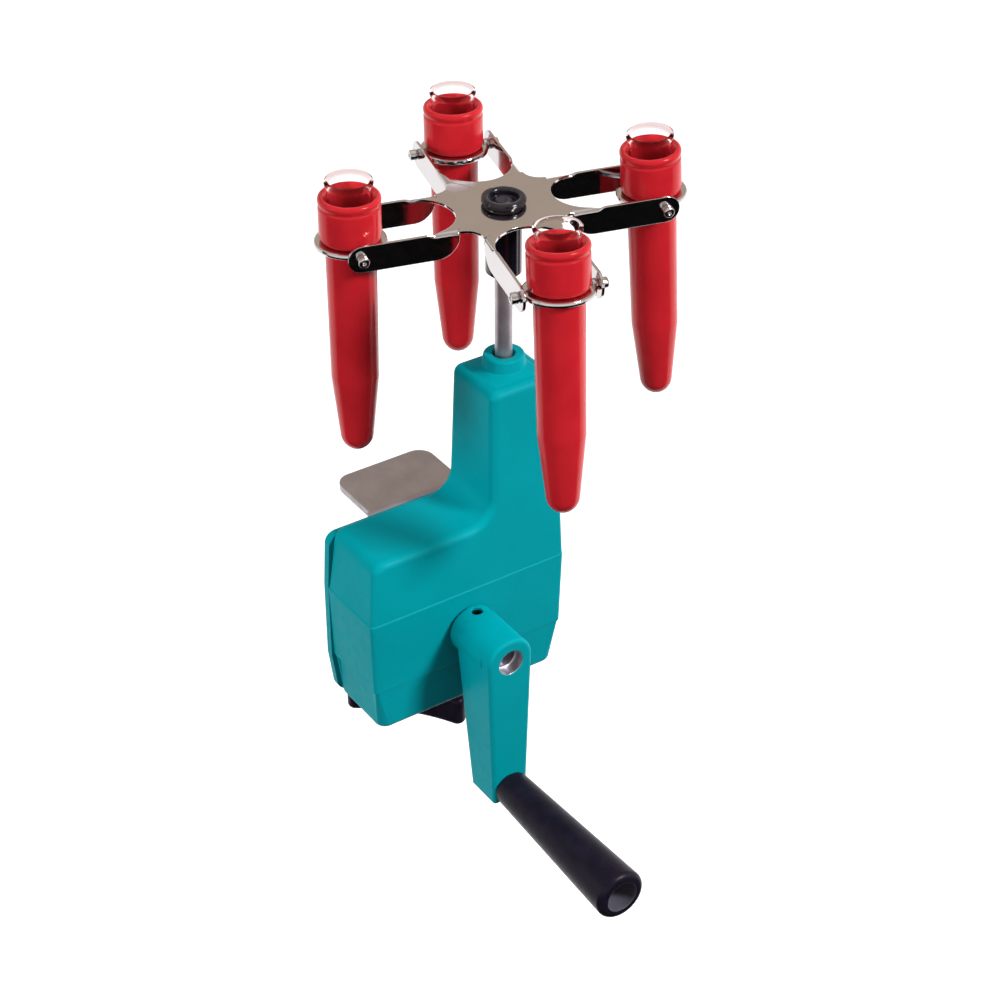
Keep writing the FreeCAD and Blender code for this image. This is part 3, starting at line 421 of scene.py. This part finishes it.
# Cover screws. Four slotted cheese-head machine screws, turned and zinc plated, hold the clamp and cover.
zinc, skin = new_finish("zinc_plate", (0.62, 0.62, 0.64), 0.3, metal=1.0)
links = zinc.node_tree.links
links.new(tint(zinc, grain(zinc, 0.004), [(0.3, (0.50, 0.50, 0.52)), (0.7, (0.70, 0.70, 0.70))]),
          skin.inputs["Base Color"])
links.new(spread(zinc, grain(zinc, 0.0015), 0.22, 0.42), skin.inputs["Roughness"])
round_normal = eased_edges(zinc, 0.0003)[0]
relief(zinc, skin, grain(zinc, 0.0008), 0.00002, round_normal)
wear("cover_screws", zinc)

# Bench clamp. A steel strap bent into a channel, its upper end the fixed jaw, with a shouldered nut riveted
# into its lower arm; the sheet is rolled, dull and faintly brushed along its length.
strap, skin = new_finish("rolled_steel", (0.36, 0.33, 0.31), 0.42, metal=1.0)
links = strap.node_tree.links
rolled = grain(strap, 0.0016, (6.0, 0.35, 1.0), 4.0)
cloudy = grain(strap, 0.012)
round_normal, edge = eased_edges(strap, 0.0006)
plain = blended(strap, spread(strap, cloudy, 0.0, 1.0), (0.38, 0.345, 0.36), (0.46, 0.42, 0.44))
links.new(blended(strap, spread(strap, edge, 0.0, 0.7, 0.0, 1.0), plain, (0.72, 0.74, 0.78)),
          skin.inputs["Base Color"])
links.new(spread(strap, rolled, 0.36, 0.52), skin.inputs["Roughness"])
relief(strap, skin, rolled, 0.00003, round_normal)
wear("clamp_nut", strap)
points, faces = joined_up("clamp_bracket")
x, y, z = points.T
# The jaw's left edge is sheared a little narrower than the strap below it.
strap_half, jaw_left = 22.8, 21.6
on_jaw = (z > -1.0) & (y > -10.0)
x = np.where(on_jaw & (x < 0), x * jaw_left / strap_half, x)
bracket = put_mesh("bench_jaw_strap", np.column_stack([x, y, z]), faces, strap, 32.0)
even_light(bracket)
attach(bracket, "base")
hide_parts("clamp_bracket")

# Clamp screw. A zinc-plated steel screw with a rolled metric thread that turns in the nut and carries the pad
# on a plain tip; the pad is a plain turned steel disc.
screw_spot = np.array([3.7, 0.0, 0.0])
thread_pitch = 1.5
thread_top_r = 5.0
thread_deep = 0.85
thread_span = (-104.0, -34.5)
thread_runout = 1.5
levels_a_turn = 12
round_steps = 48
rod_span = (-106.3, -33.0)
tip_r = 3.0
tip_end = -29.5


def turned_faces(rings, around, poles):
    """Face table for rings of points that follow each other along a profile, closed round each ring.
    With poles the first and last profile points are single points joined to their rings by triangles;
    without them the last ring joins the first."""
    turn = np.arange(around)
    beyond = (turn + 1) % around
    if poles:
        start = 1 + np.arange(rings - 1)[:, None] * around
        quads = np.stack([start + turn, start + around + turn, start + around + beyond, start + beyond], -1)
        last = 1 + (rings - 1) * around
        first_cap = np.stack([np.zeros_like(turn), 1 + turn, 1 + beyond], -1)
        end_cap = np.stack([last + turn, np.full_like(turn, last + around), last + beyond], -1)
        return quads.reshape(-1, 4).tolist() + first_cap.tolist() + end_cap.tolist()
    ring = np.arange(rings)[:, None]
    here, there = ring * around, ((ring + 1) % rings) * around
    return np.stack([here + turn, there + turn, there + beyond, here + beyond], -1).reshape(-1, 4).tolist()


along = np.arange(rod_span[1], rod_span[0] - 0.01, -thread_pitch / levels_a_turn)
spin = np.linspace(0, 2 * np.pi, round_steps, endpoint=False)
level, angle = np.meshgrid(along, spin, indexing="ij")
# Thread height: a triangle wave of the height less the turn, flattened at its crest and root.
phase = np.mod(level / thread_pitch - angle / (2 * np.pi), 1.0)
wave = np.clip(np.abs(phase - 0.5) * 2.6 - 0.25, 0.0, 1.0)
fade = (np.clip((thread_span[1] - level) / thread_runout, 0, 1)
        * np.clip((level - thread_span[0]) / thread_runout, 0, 1))
reach = thread_top_r - thread_deep * wave * fade
rod = np.stack([reach * np.cos(angle), reach * np.sin(angle), level], -1).reshape(-1, 3)
tip_levels = np.array([[tip_r, rod_span[1]], [tip_r, tip_end + 0.5], [tip_r - 0.5, tip_end]])
tip = np.stack([tip_levels[:, :1] * np.cos(spin), tip_levels[:, :1] * np.sin(spin),
                np.repeat(tip_levels[:, 1:], round_steps, 1)], -1).reshape(-1, 3)
points = np.vstack([[[0, 0, tip_end]], tip, rod, [[0, 0, rod_span[0]]]]) + screw_spot
thread_faces = turned_faces(len(along) + len(tip_levels), round_steps, True)
clamp_thread = put_mesh("clamp_thread", points, thread_faces, zinc, 50.0)
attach(clamp_thread, "clamp_screw")
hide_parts("clamp_screw")
wear("clamp_pad", zinc)

# Clamp knob. A three-armed knob moulded in black phenolic round the end of the screw, satin where the mould
# was blasted, with fine dust-grey scuffs on its edges.
phenolic, skin = new_finish("black_phenolic", (0.008, 0.006, 0.012), 0.40, gloss=0.10)
links = phenolic.node_tree.links
body = tint(phenolic, grain(phenolic, 0.006), [(0.35, (0.006, 0.004, 0.010)), (0.7, (0.010, 0.008, 0.016))])
round_normal, edge = eased_edges(phenolic, 0.0006)
links.new(blended(phenolic, spread(phenolic, edge, 0.0, 0.3, 0.0, 1.0), body, (0.10, 0.09, 0.12)),
          skin.inputs["Base Color"])
links.new(spread(phenolic, grain(phenolic, 0.0012), 0.28, 0.44), skin.inputs["Roughness"])
relief(phenolic, skin, grain(phenolic, 0.0007, detail=2.0), 0.00003, round_normal)
wear("clamp_knob", phenolic)

# Gear pair. A cast-brass wheel with cut helical teeth is keyed to the crank shaft and drives a steel pinion
# on the spindle. Both sit in the case behind the cover.
brass, skin = new_finish("cut_brass", (0.60, 0.42, 0.16), 0.28, metal=1.0)
links = brass.node_tree.links
links.new(tint(brass, grain(brass, 0.005), [(0.3, (0.48, 0.32, 0.11)), (0.7, (0.66, 0.48, 0.20))]),
          skin.inputs["Base Color"])
links.new(spread(brass, grain(brass, 0.002), 0.2, 0.4), skin.inputs["Roughness"])
relief(brass, skin, grain(brass, 0.001), 0.00002)
wear("crank_wheel", brass)

# Shafts. Spindle, its collar and pinion are ground bright steel, with turning marks round them too fine to
# see one by one; the crank shaft is the same steel painted dark, a painted shade for its end deep in the
# arm's bore.
ground, skin = new_finish("ground_steel", (0.62, 0.60, 0.63), 0.2, metal=1.0)
links = ground.node_tree.links
turning = grain(ground, 0.004, (1.0, 1.0, 9.0), 4.0)
bright = tint(ground, grain(ground, 0.01), [(0.3, (0.44, 0.41, 0.45)), (0.7, (0.56, 0.52, 0.56))])
# The spindle's end is painted black down to a level inside the nut: painted shade for the end deep in the
# nut's recess.
recess_shade_line = (0.1362, 0.1366)
level = height_in(ground)
painted_recess_shade = spread(ground, level, 0.0, 1.0, *recess_shade_line)
links.new(blended(ground, painted_recess_shade, bright, (0.012, 0.011, 0.018)), skin.inputs["Base Color"])
links.new(spread(ground, level, 1.0, 0.0, *recess_shade_line), skin.inputs["Metallic"])
links.new(spread(ground, turning, 0.42, 0.54), skin.inputs["Roughness"])
round_normal = eased_edges(ground, 0.0003)[0]
relief(ground, skin, turning, 0.00002, round_normal)
for name in ("spindle_pinion", "spindle_collar"):
    wear(name, ground)
# The crank shaft's dark colour is painted shade: its end sits deep in the arm's bore.
shaded_shaft, skin = new_finish("shaft_painted_shade", (0.10, 0.09, 0.11), 0.45, metal=1.0)
dark_and_pale = [(0.3, (0.07, 0.06, 0.08)), (0.7, (0.14, 0.13, 0.16))]
shaded_shaft.node_tree.links.new(tint(shaded_shaft, grain(shaded_shaft, 0.003), dark_and_pale), skin.inputs["Base Color"])
relief(shaded_shaft, skin, grain(shaded_shaft, 0.001), 0.00002)
wear("crank_shaft", shaded_shaft)


def eased(corners, cut, steps=6):
    """Profile through corners with each inner corner replaced by a parabola that leaves its two sides at the
    distance cut, or at 0.45 of the side where that is shorter."""
    corners = np.array(corners, float)
    cut = np.broadcast_to(np.array(cut, float), (len(corners) - 2,))[:, None]
    here, before, after = corners[1:-1], corners[:-2], corners[2:]
    back = before - here
    on = after - here
    back_long = np.linalg.norm(back, axis=1, keepdims=True)
    on_long = np.linalg.norm(on, axis=1, keepdims=True)
    start = here + back * np.minimum(cut / back_long, 0.45)
    end = here + on * np.minimum(cut / on_long, 0.45)
    t = np.linspace(0, 1, steps)[None, :, None]
    curve = (1 - t) ** 2 * start[:, None] + 2 * t * (1 - t) * here[:, None] + t ** 2 * end[:, None]
    return np.vstack([corners[:1], curve.reshape(-1, 2), corners[-1:]])


def turned(profile, around):
    """Points and faces of a closed solid turned about Z: x = r cos a, y = r sin a for each profile point
    (r, z), whose first and last points lie on the axis."""
    a = np.linspace(0, 2 * np.pi, around, endpoint=False)
    r, z = profile[1:-1, :1], profile[1:-1, 1:]
    rings = np.stack([r * np.cos(a), r * np.sin(a), np.repeat(z, around, 1)], -1).reshape(-1, 3)
    poles = np.array([[0, 0, profile[0, 1]], [0, 0, profile[-1, 1]]])
    return np.vstack([poles[:1], rings, poles[1:]]), turned_faces(len(profile) - 2, around, True)


spindle_axis = np.array([spindle_x, case_middle_y, 0.0])
spindle_corners = [(0, 138.6), (1.0, 139.4), (1.5, 139.7), (2.9, 139.7), (3.45, 139.1), (3.5, 118.0),
                   (3.5, -40.0), (3.5, -69.4), (2.9, -70.0), (0, -70.0)]
spindle_points, spindle_faces = turned(np.array(spindle_corners, float), 64)
spindle = put_mesh("spindle_shaft", spindle_points + spindle_axis, spindle_faces, ground, 30.0)
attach(spindle, "rotor")
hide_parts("spindle")

# Set screw and handle bolt. A blackened socket set screw locks the arm to its shaft, and a zinc-plated socket
# bolt holds the handle from inside its recess.
blacked, skin = new_finish("blacked_steel", (0.03, 0.03, 0.035), 0.4, metal=1.0)
links = blacked.node_tree.links
links.new(tint(blacked, grain(blacked, 0.001), [(0.3, (0.02, 0.02, 0.022)), (0.7, (0.06, 0.06, 0.065))]),
          skin.inputs["Base Color"])
relief(blacked, skin, grain(blacked, 0.0005), 0.00002)
wear("set_screw", blacked)
wear("handle_bolt", zinc)

# Handle. A tapered grip turned from black phenolic rod, free to spin on its bolt. The recess bored in its
# outer end is painted paler than the polished outside, a painted light for its lit inner wall.
grip_finish, skin = new_finish("turned_phenolic", (0.008, 0.006, 0.012), 0.40, gloss=0.12)
links = grip_finish.node_tree.links
polished = tint(grip_finish, grain(grip_finish, 0.006),
                [(0.35, (0.006, 0.004, 0.010)), (0.7, (0.010, 0.008, 0.016))])
grip_level = -0.1033
recess_edge = (0.00685, 0.00695)
# Paler inside the recess radius: painted light for the lit inner wall.
painted_recess_light = spread(grip_finish, off_axis(grip_finish, grip_level), 1.0, 0.0, *recess_edge)
round_normal, edge = eased_edges(grip_finish, 0.0006)
worn = blended(grip_finish, spread(grip_finish, edge, 0.0, 0.3, 0.0, 1.0), polished, (0.10, 0.09, 0.12))
links.new(blended(grip_finish, painted_recess_light, worn, (0.10, 0.095, 0.12)), skin.inputs["Base Color"])
links.new(spread(grip_finish, grain(grip_finish, 0.0012), 0.28, 0.44), skin.inputs["Roughness"])
relief(grip_finish, skin, grain(grip_finish, 0.0007, detail=2.0), 0.00003, round_normal)
wear("handle_grip", grip_finish)

# Hub. A black-lacquered steel sleeve carries the rotor on the spindle and a round nut, recessed for the end
# of the spindle, holds it down.
lacquer, skin = new_finish("black_lacquer", (0.006, 0.005, 0.009), 0.10, gloss=0.5)
links = lacquer.node_tree.links
links.new(tint(lacquer, grain(lacquer, 0.004), [(0.35, (0.005, 0.004, 0.008)), (0.7, (0.009, 0.007, 0.014))]),
          skin.inputs["Base Color"])
links.new(spread(lacquer, grain(lacquer, 0.003), 0.06, 0.13), skin.inputs["Roughness"])
round_normal = eased_edges(lacquer, 0.0005)[0]
relief(lacquer, skin, grain(lacquer, 0.002), 0.00001, round_normal)
wear("hub_sleeve", lacquer)


def turned_ring(profile, around):
    """Points and faces of a ring turned about Z from a closed profile of (r, z) points, none on the axis."""
    a = np.linspace(0, 2 * np.pi, around, endpoint=False)
    profile = np.array(profile, float)
    r, z = profile[:, :1], profile[:, 1:]
    rings = np.stack([r * np.cos(a), r * np.sin(a), np.repeat(z, around, 1)], -1).reshape(-1, 3)
    return rings, turned_faces(len(profile), around, False)


nut_profile = [(3.5, 138.4), (5.4, 138.4), (5.7, 138.6), (5.85, 140.7), (6.05, 141.05), (6.5, 141.2),
               (7.7, 141.2), (8.3, 141.05), (8.6, 140.5), (8.6, 139.4), (8.3, 139.1), (7.4, 139.05),
               (7.3, 138.05), (3.5, 138.05)]
nut_points, nut_faces = turned_ring(nut_profile, 96)
nut = put_mesh("round_hub_nut", nut_points + spindle_axis, nut_faces, lacquer, 50.0)
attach(nut, "rotor")
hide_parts("hub_nut")

# Rotor star. One pressing of spring steel with its eight strips bent down, polished and nickel-chromed, so it
# mirrors the room; the sheared edges are a little rounder and brighter than the faces.
chrome, skin = new_finish("polished_chrome", (0.62, 0.58, 0.59), 0.07, metal=1.0)
links = chrome.node_tree.links
links.new(tint(chrome, grain(chrome, 0.02), [(0.3, (0.60, 0.56, 0.57)), (0.7, (0.64, 0.60, 0.61))]),
          skin.inputs["Base Color"])
links.new(spread(chrome, grain(chrome, 0.003, (1.0, 1.0, 1.0), 5.0), 0.045, 0.11), skin.inputs["Roughness"])
round_normal = eased_edges(chrome, 0.0004)[0]
relief(chrome, skin, grain(chrome, 0.006, detail=1.0), 0.00001, round_normal)
pivot_height = 132.7
pivot_out = 60.0
first_fork = -104.74
leans = (5.2, 3.6, -1.7, 0.3)


def at_fork(points, number):
    """Points about a bucket's pivot, carried to their fork: leaned about Y, moved out along X, turned about
    the spindle and set on it."""
    lean = math.radians(-leans[number - 1])
    turn = math.radians(first_fork + 90.0 * (number - 1))
    x = points[:, 0] * math.cos(lean) + points[:, 2] * math.sin(lean) + pivot_out
    z = -points[:, 0] * math.sin(lean) + points[:, 2] * math.cos(lean)
    y = points[:, 1]
    return np.column_stack([x * math.cos(turn) - y * math.sin(turn), x * math.sin(turn) + y * math.cos(turn),
                            z + pivot_height]) + spindle_axis


sheet_thick = 1.1
plate_top = 5.3                           # above the pivots
strip_face = 15.5                         # a strip's outer face from the fork's middle
fold_inside = 0.7
flat_level = plate_top - sheet_thick / 2
wall_at = strip_face - sheet_thick / 2
fold_r = fold_inside + sheet_thick / 2
fold_at = strip_face - fold_inside - sheet_thick
bite_x, bite_r = 34.1, 14.4
strip_from, heel_x, pivot_x, strip_r = 22.4, 31.0, 60.0, 5.3
corner_r = 6.9
heel_r = heel_x - strip_from
root_end, wall_from = 36.0, 37.5
ease_from, ease_long = 31.5, 4.0
rows = np.concatenate([np.linspace(strip_from, root_end, 34), np.linspace(wall_from, pivot_x, 10),
                       pivot_x + (strip_r - 0.02) * np.sin(np.linspace(0.12, np.pi / 2, 12))])
x, v = np.meshgrid(rows, np.linspace(0, 1, 26), indexing="ij")
# One strip of a fork with its bend. Its inner edge is the bite's arc, its lower edge the heel's arc, a
# straight line and the round end; w is the distance across the sheet from where the fold begins, so the
# point is on the flat for w < 0, on the fold's quarter circle next, and on the upright wall beyond it.
bite_edge = np.sqrt(np.clip(bite_r ** 2 - np.clip(bite_x - x, 0, None) ** 2, 0, None))
end_half = np.sqrt(np.clip(strip_r ** 2 - np.clip(x - pivot_x, 0, None) ** 2, 0, None))
heel_edge = heel_r - strip_r - np.sqrt(np.clip(heel_r ** 2 - np.clip(heel_x - x, 0, None) ** 2, 0, None))
low_edge = np.where(x < heel_x, heel_edge, -end_half)
w_start = np.where(bite_edge < fold_at, bite_edge - fold_at,
                   fold_r * np.arcsin(np.clip((bite_edge - fold_at) / fold_r, 0, 1)))
w_end = np.pi / 2 * fold_r + (flat_level - fold_r - low_edge)
w = w_start + (w_end - w_start) * v
bend = np.clip(w / fold_r, 0, np.pi / 2)
fold_y = fold_at + np.minimum(w, 0) + fold_r * np.sin(bend)
fold_z = flat_level - fold_r * (1 - np.cos(bend)) - np.maximum(w - np.pi / 2 * fold_r, 0)
# Past the bend the strip is a plain upright wall with a square top edge; the two forms ease into each other.
wall_z = end_half + (low_edge - end_half) * v
ease = np.clip((x - ease_from) / ease_long, 0, 1)
ease = ease * ease * (3 - 2 * ease)
strip = np.stack([x, fold_y + (wall_at - fold_y) * ease, fold_z + (wall_z - fold_z) * ease], -1)
count_x, count_v = x.shape
corner = (np.arange(count_x - 1)[:, None] * count_v + np.arange(count_v - 1)).reshape(-1)
strip_faces = np.column_stack([corner, corner + 1, corner + count_v + 1, corner + count_v])
strip = strip.reshape(-1, 3)
# The flat plate's outline, a quarter at a time: bite arc, the first row of the strip's flat, corner arc.
swing = np.linspace(-1, 1, 15) * math.asin(bite_edge[0, 0] / bite_r)
bite = np.column_stack([bite_x - bite_r * np.cos(swing), bite_r * np.sin(swing)])
row = fold_y[0][w[0] < 0]
sweep = np.radians(np.linspace(-90, -180, 13))
corner_arc = strip_from + corner_r * np.column_stack([np.cos(sweep), np.sin(sweep)])
quarter_line = np.vstack([np.column_stack([np.full(len(row) - 1, strip_from), -row[:0:-1]]), bite,
                          np.column_stack([np.full(len(row) - 1, strip_from), row[1:]]), corner_arc])
star_points, star_faces, outline = [], [], []
for fork_number in range(4):
    a = math.radians(90.0 * fork_number)
    about = np.array([[math.cos(a), math.sin(a), 0], [-math.sin(a), math.cos(a), 0], [0, 0, 1]])
    outline.append(np.column_stack([quarter_line, np.full(len(quarter_line), flat_level)]) @ about)
    for side, order in ((1, 1), (-1, -1)):
        star_faces.append(strip_faces[:, ::order] + len(strip) * len(star_points))
        star_points.append(strip * (1, side, 1) @ about)
plate_first = len(strip) * len(star_points)
outline = np.vstack(outline)
all_faces = np.vstack(star_faces).tolist() + [list(range(plate_first, plate_first + len(outline)))]
star_all = np.vstack(star_points + [outline])
a = math.radians(first_fork)
star_turned = np.column_stack([star_all[:, 0] * math.cos(a) - star_all[:, 1] * math.sin(a),
                               star_all[:, 0] * math.sin(a) + star_all[:, 1] * math.cos(a),
                               star_all[:, 2] + pivot_height]) + spindle_axis
star = put_mesh("rotor_pressing", star_turned, all_faces, chrome, 60.0)
shell = bmesh.new()
shell.from_mesh(star.data)
bmesh.ops.remove_doubles(shell, verts=shell.verts, dist=2e-6)
bmesh.ops.recalc_face_normals(shell, faces=shell.faces)
shell.to_mesh(star.data)
shell.free()
sheared_radius = 0.00022
thick = star.modifiers.new("sheet", "SOLIDIFY")
thick.thickness = sheet_thick * 0.001
thick.offset = 0.0
soften = star.modifiers.new("sheared_edges", "BEVEL")
soften.width = sheared_radius
soften.segments = 2
soften.limit_method = "ANGLE"
soften.angle_limit = math.radians(50)
even_light(star)
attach(star, "rotor")
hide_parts("rotor_star")

# Swinging rings. Each bucket hangs by its collar in a chromed ring whose two pins turn in the fork's strips.
# A pin is turned with a small head whose end keeps the lathe's centre hole.
pin_corners = np.array([(0, 12.4), (1.55, 12.4), (1.6, 15.7), (2.0, 15.75), (2.2, 15.95), (2.2, 18.0),
                        (2.0, 18.4), (1.6, 18.6), (0.8, 18.6), (0.6, 18.4), (0.45, 17.9), (0, 17.7)], float)
pin_points, pin_faces = turned(pin_corners, 40)
right_pin = pin_points[:, (0, 2, 1)] * (1, 1, -1)
left_pin = pin_points[:, (0, 2, 1)] * (-1, -1, -1)
both_pins = np.vstack([right_pin, left_pin])
both_faces = pin_faces + [[corner + len(pin_points) for corner in face] for face in pin_faces]
for number in range(1, 5):
    wear("ring_%d" % number, chrome)
    pins = put_mesh("chromed_pins_%d" % number, at_fork(both_pins, number), both_faces, chrome, 35.0)
    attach(pins, "swing_%d" % number)
    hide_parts("ring_pins_%d" % number)

# Buckets. Four tubes of bright red moulded plastic with a thick collar and a tapered foot, glossy and a
# little uneven in shade. Each hangs in its ring by the collar.
foot_r, foot_level = 6.6, -83.6
bowl_deep = 7.4
bucket_corners = [(0, -88.6), (4.2, -88.6), (5.0, -86.6), (5.75, -84.0), (8.42, -58.0), (8.75, 17.2),
                  (9.2, 17.9), (10.2, 19.1), (10.9, 19.1), (11.5, 18.7), (11.85, 17.8), (11.8, 16.8),
                  (11.45, 16.1), (11.45, 15.5), (11.75, 14.9), (11.75, 3.9), (11.65, 3.6), (11.65, 2.7),
                  (11.2, 1.7), (10.3, 1.15), (9.65, 1.15), (9.2, -58.0), (foot_r, foot_level)]
quarter = np.linspace(0, np.pi / 2, 9)[1:]
bowl = np.column_stack([foot_r * np.cos(quarter), foot_level - bowl_deep * np.sin(quarter)])
red_plastic, skin = new_finish("red_plastic", (0.46, 0.012, 0.019), 0.24, gloss=0.22)
links = red_plastic.node_tree.links
deep_and_bright = [(0.35, (0.43, 0.011, 0.018)), (0.65, (0.49, 0.014, 0.021))]
links.new(tint(red_plastic, grain(red_plastic, 0.02), deep_and_bright), skin.inputs["Base Color"])
links.new(spread(red_plastic, grain(red_plastic, 0.005), 0.16, 0.26), skin.inputs["Roughness"])
skin.inputs["Specular Tint"].default_value = (1.0, 0.62, 0.46, 1.0)
relief(red_plastic, skin, grain(red_plastic, 0.004, (1.0, 1.0, 0.25), 2.0), 0.00003)
upper = eased(bucket_corners, 0.4)
whole = np.vstack([upper[:-1], [(foot_r, foot_level)], bowl[:-1], [(0, foot_level - bowl_deep)]])
bucket_points, bucket_faces = turned(whole, 96)
for number in range(1, 5):
    bucket = put_mesh("bucket_red_%d" % number, at_fork(bucket_points, number), bucket_faces, red_plastic,
                      50.0)
    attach(bucket, "swing_%d" % number)
    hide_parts("bucket_%d" % number)

# Cushions. A soft black rubber cup at the bottom of each bucket takes the end of the tube.
rubber, skin = new_finish("black_rubber", (0.02, 0.02, 0.02), 0.75, gloss=0.3)
links = rubber.node_tree.links
links.new(tint(rubber, grain(rubber, 0.003), [(0.3, (0.015, 0.015, 0.015)), (0.7, (0.03, 0.03, 0.03))]),
          skin.inputs["Base Color"])
relief(rubber, skin, grain(rubber, 0.0008), 0.00005)
for number in range(1, 5):
    wear("cushion_%d" % number, rubber)

# Tubes. Thin clear glass centrifuge tubes, drawn with a conical foot and a rim flared and fire-polished.
tube_corners = [(0, -84.3), (2.4, -83.9), (3.5, -83.0), (4.3, -81.6), (6.95, -58.0), (7.3, 20.0), (7.4, 23.8),
                (7.7, 25.3), (8.8, 25.3), (9.2, 24.6), (9.1, 23.4), (8.4, 22.4), (8.05, -58.0), (5.3, -82.4),
                (4.6, -84.0), (3.2, -85.2), (0, -85.7)]
glass, skin = new_finish("clear_glass", (0.98, 0.94, 0.94), 0.0)
skin.inputs["Transmission Weight"].default_value = 1.0
skin.inputs["IOR"].default_value = 1.1
links = glass.node_tree.links
wall = tint(glass, grain(glass, 0.02), [(0.3, (0.975, 0.945, 0.943)), (0.7, (0.99, 0.965, 0.96))])
# The rim, thicker than the wall, is tinted a darker pink: painted shade for how the thick rim looks.
rim_line = (0.1555, 0.1565)
rim_painted_shade = spread(glass, height_in(glass), 0.0, 1.0, *rim_line)
links.new(blended(glass, rim_painted_shade, wall, (0.70, 0.56, 0.56)), skin.inputs["Base Color"])
relief(glass, skin, grain(glass, 0.01, (1.0, 1.0, 0.3), 1.0), 0.00002)
tube_points, tube_faces = turned(eased(tube_corners, 0.7), 96)
for number in range(1, 5):
    tube = put_mesh("glass_tube_%d" % number, at_fork(tube_points, number), tube_faces, glass, 60.0)
    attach(tube, "tube_%d" % number)
    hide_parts("tube_%d" % number)
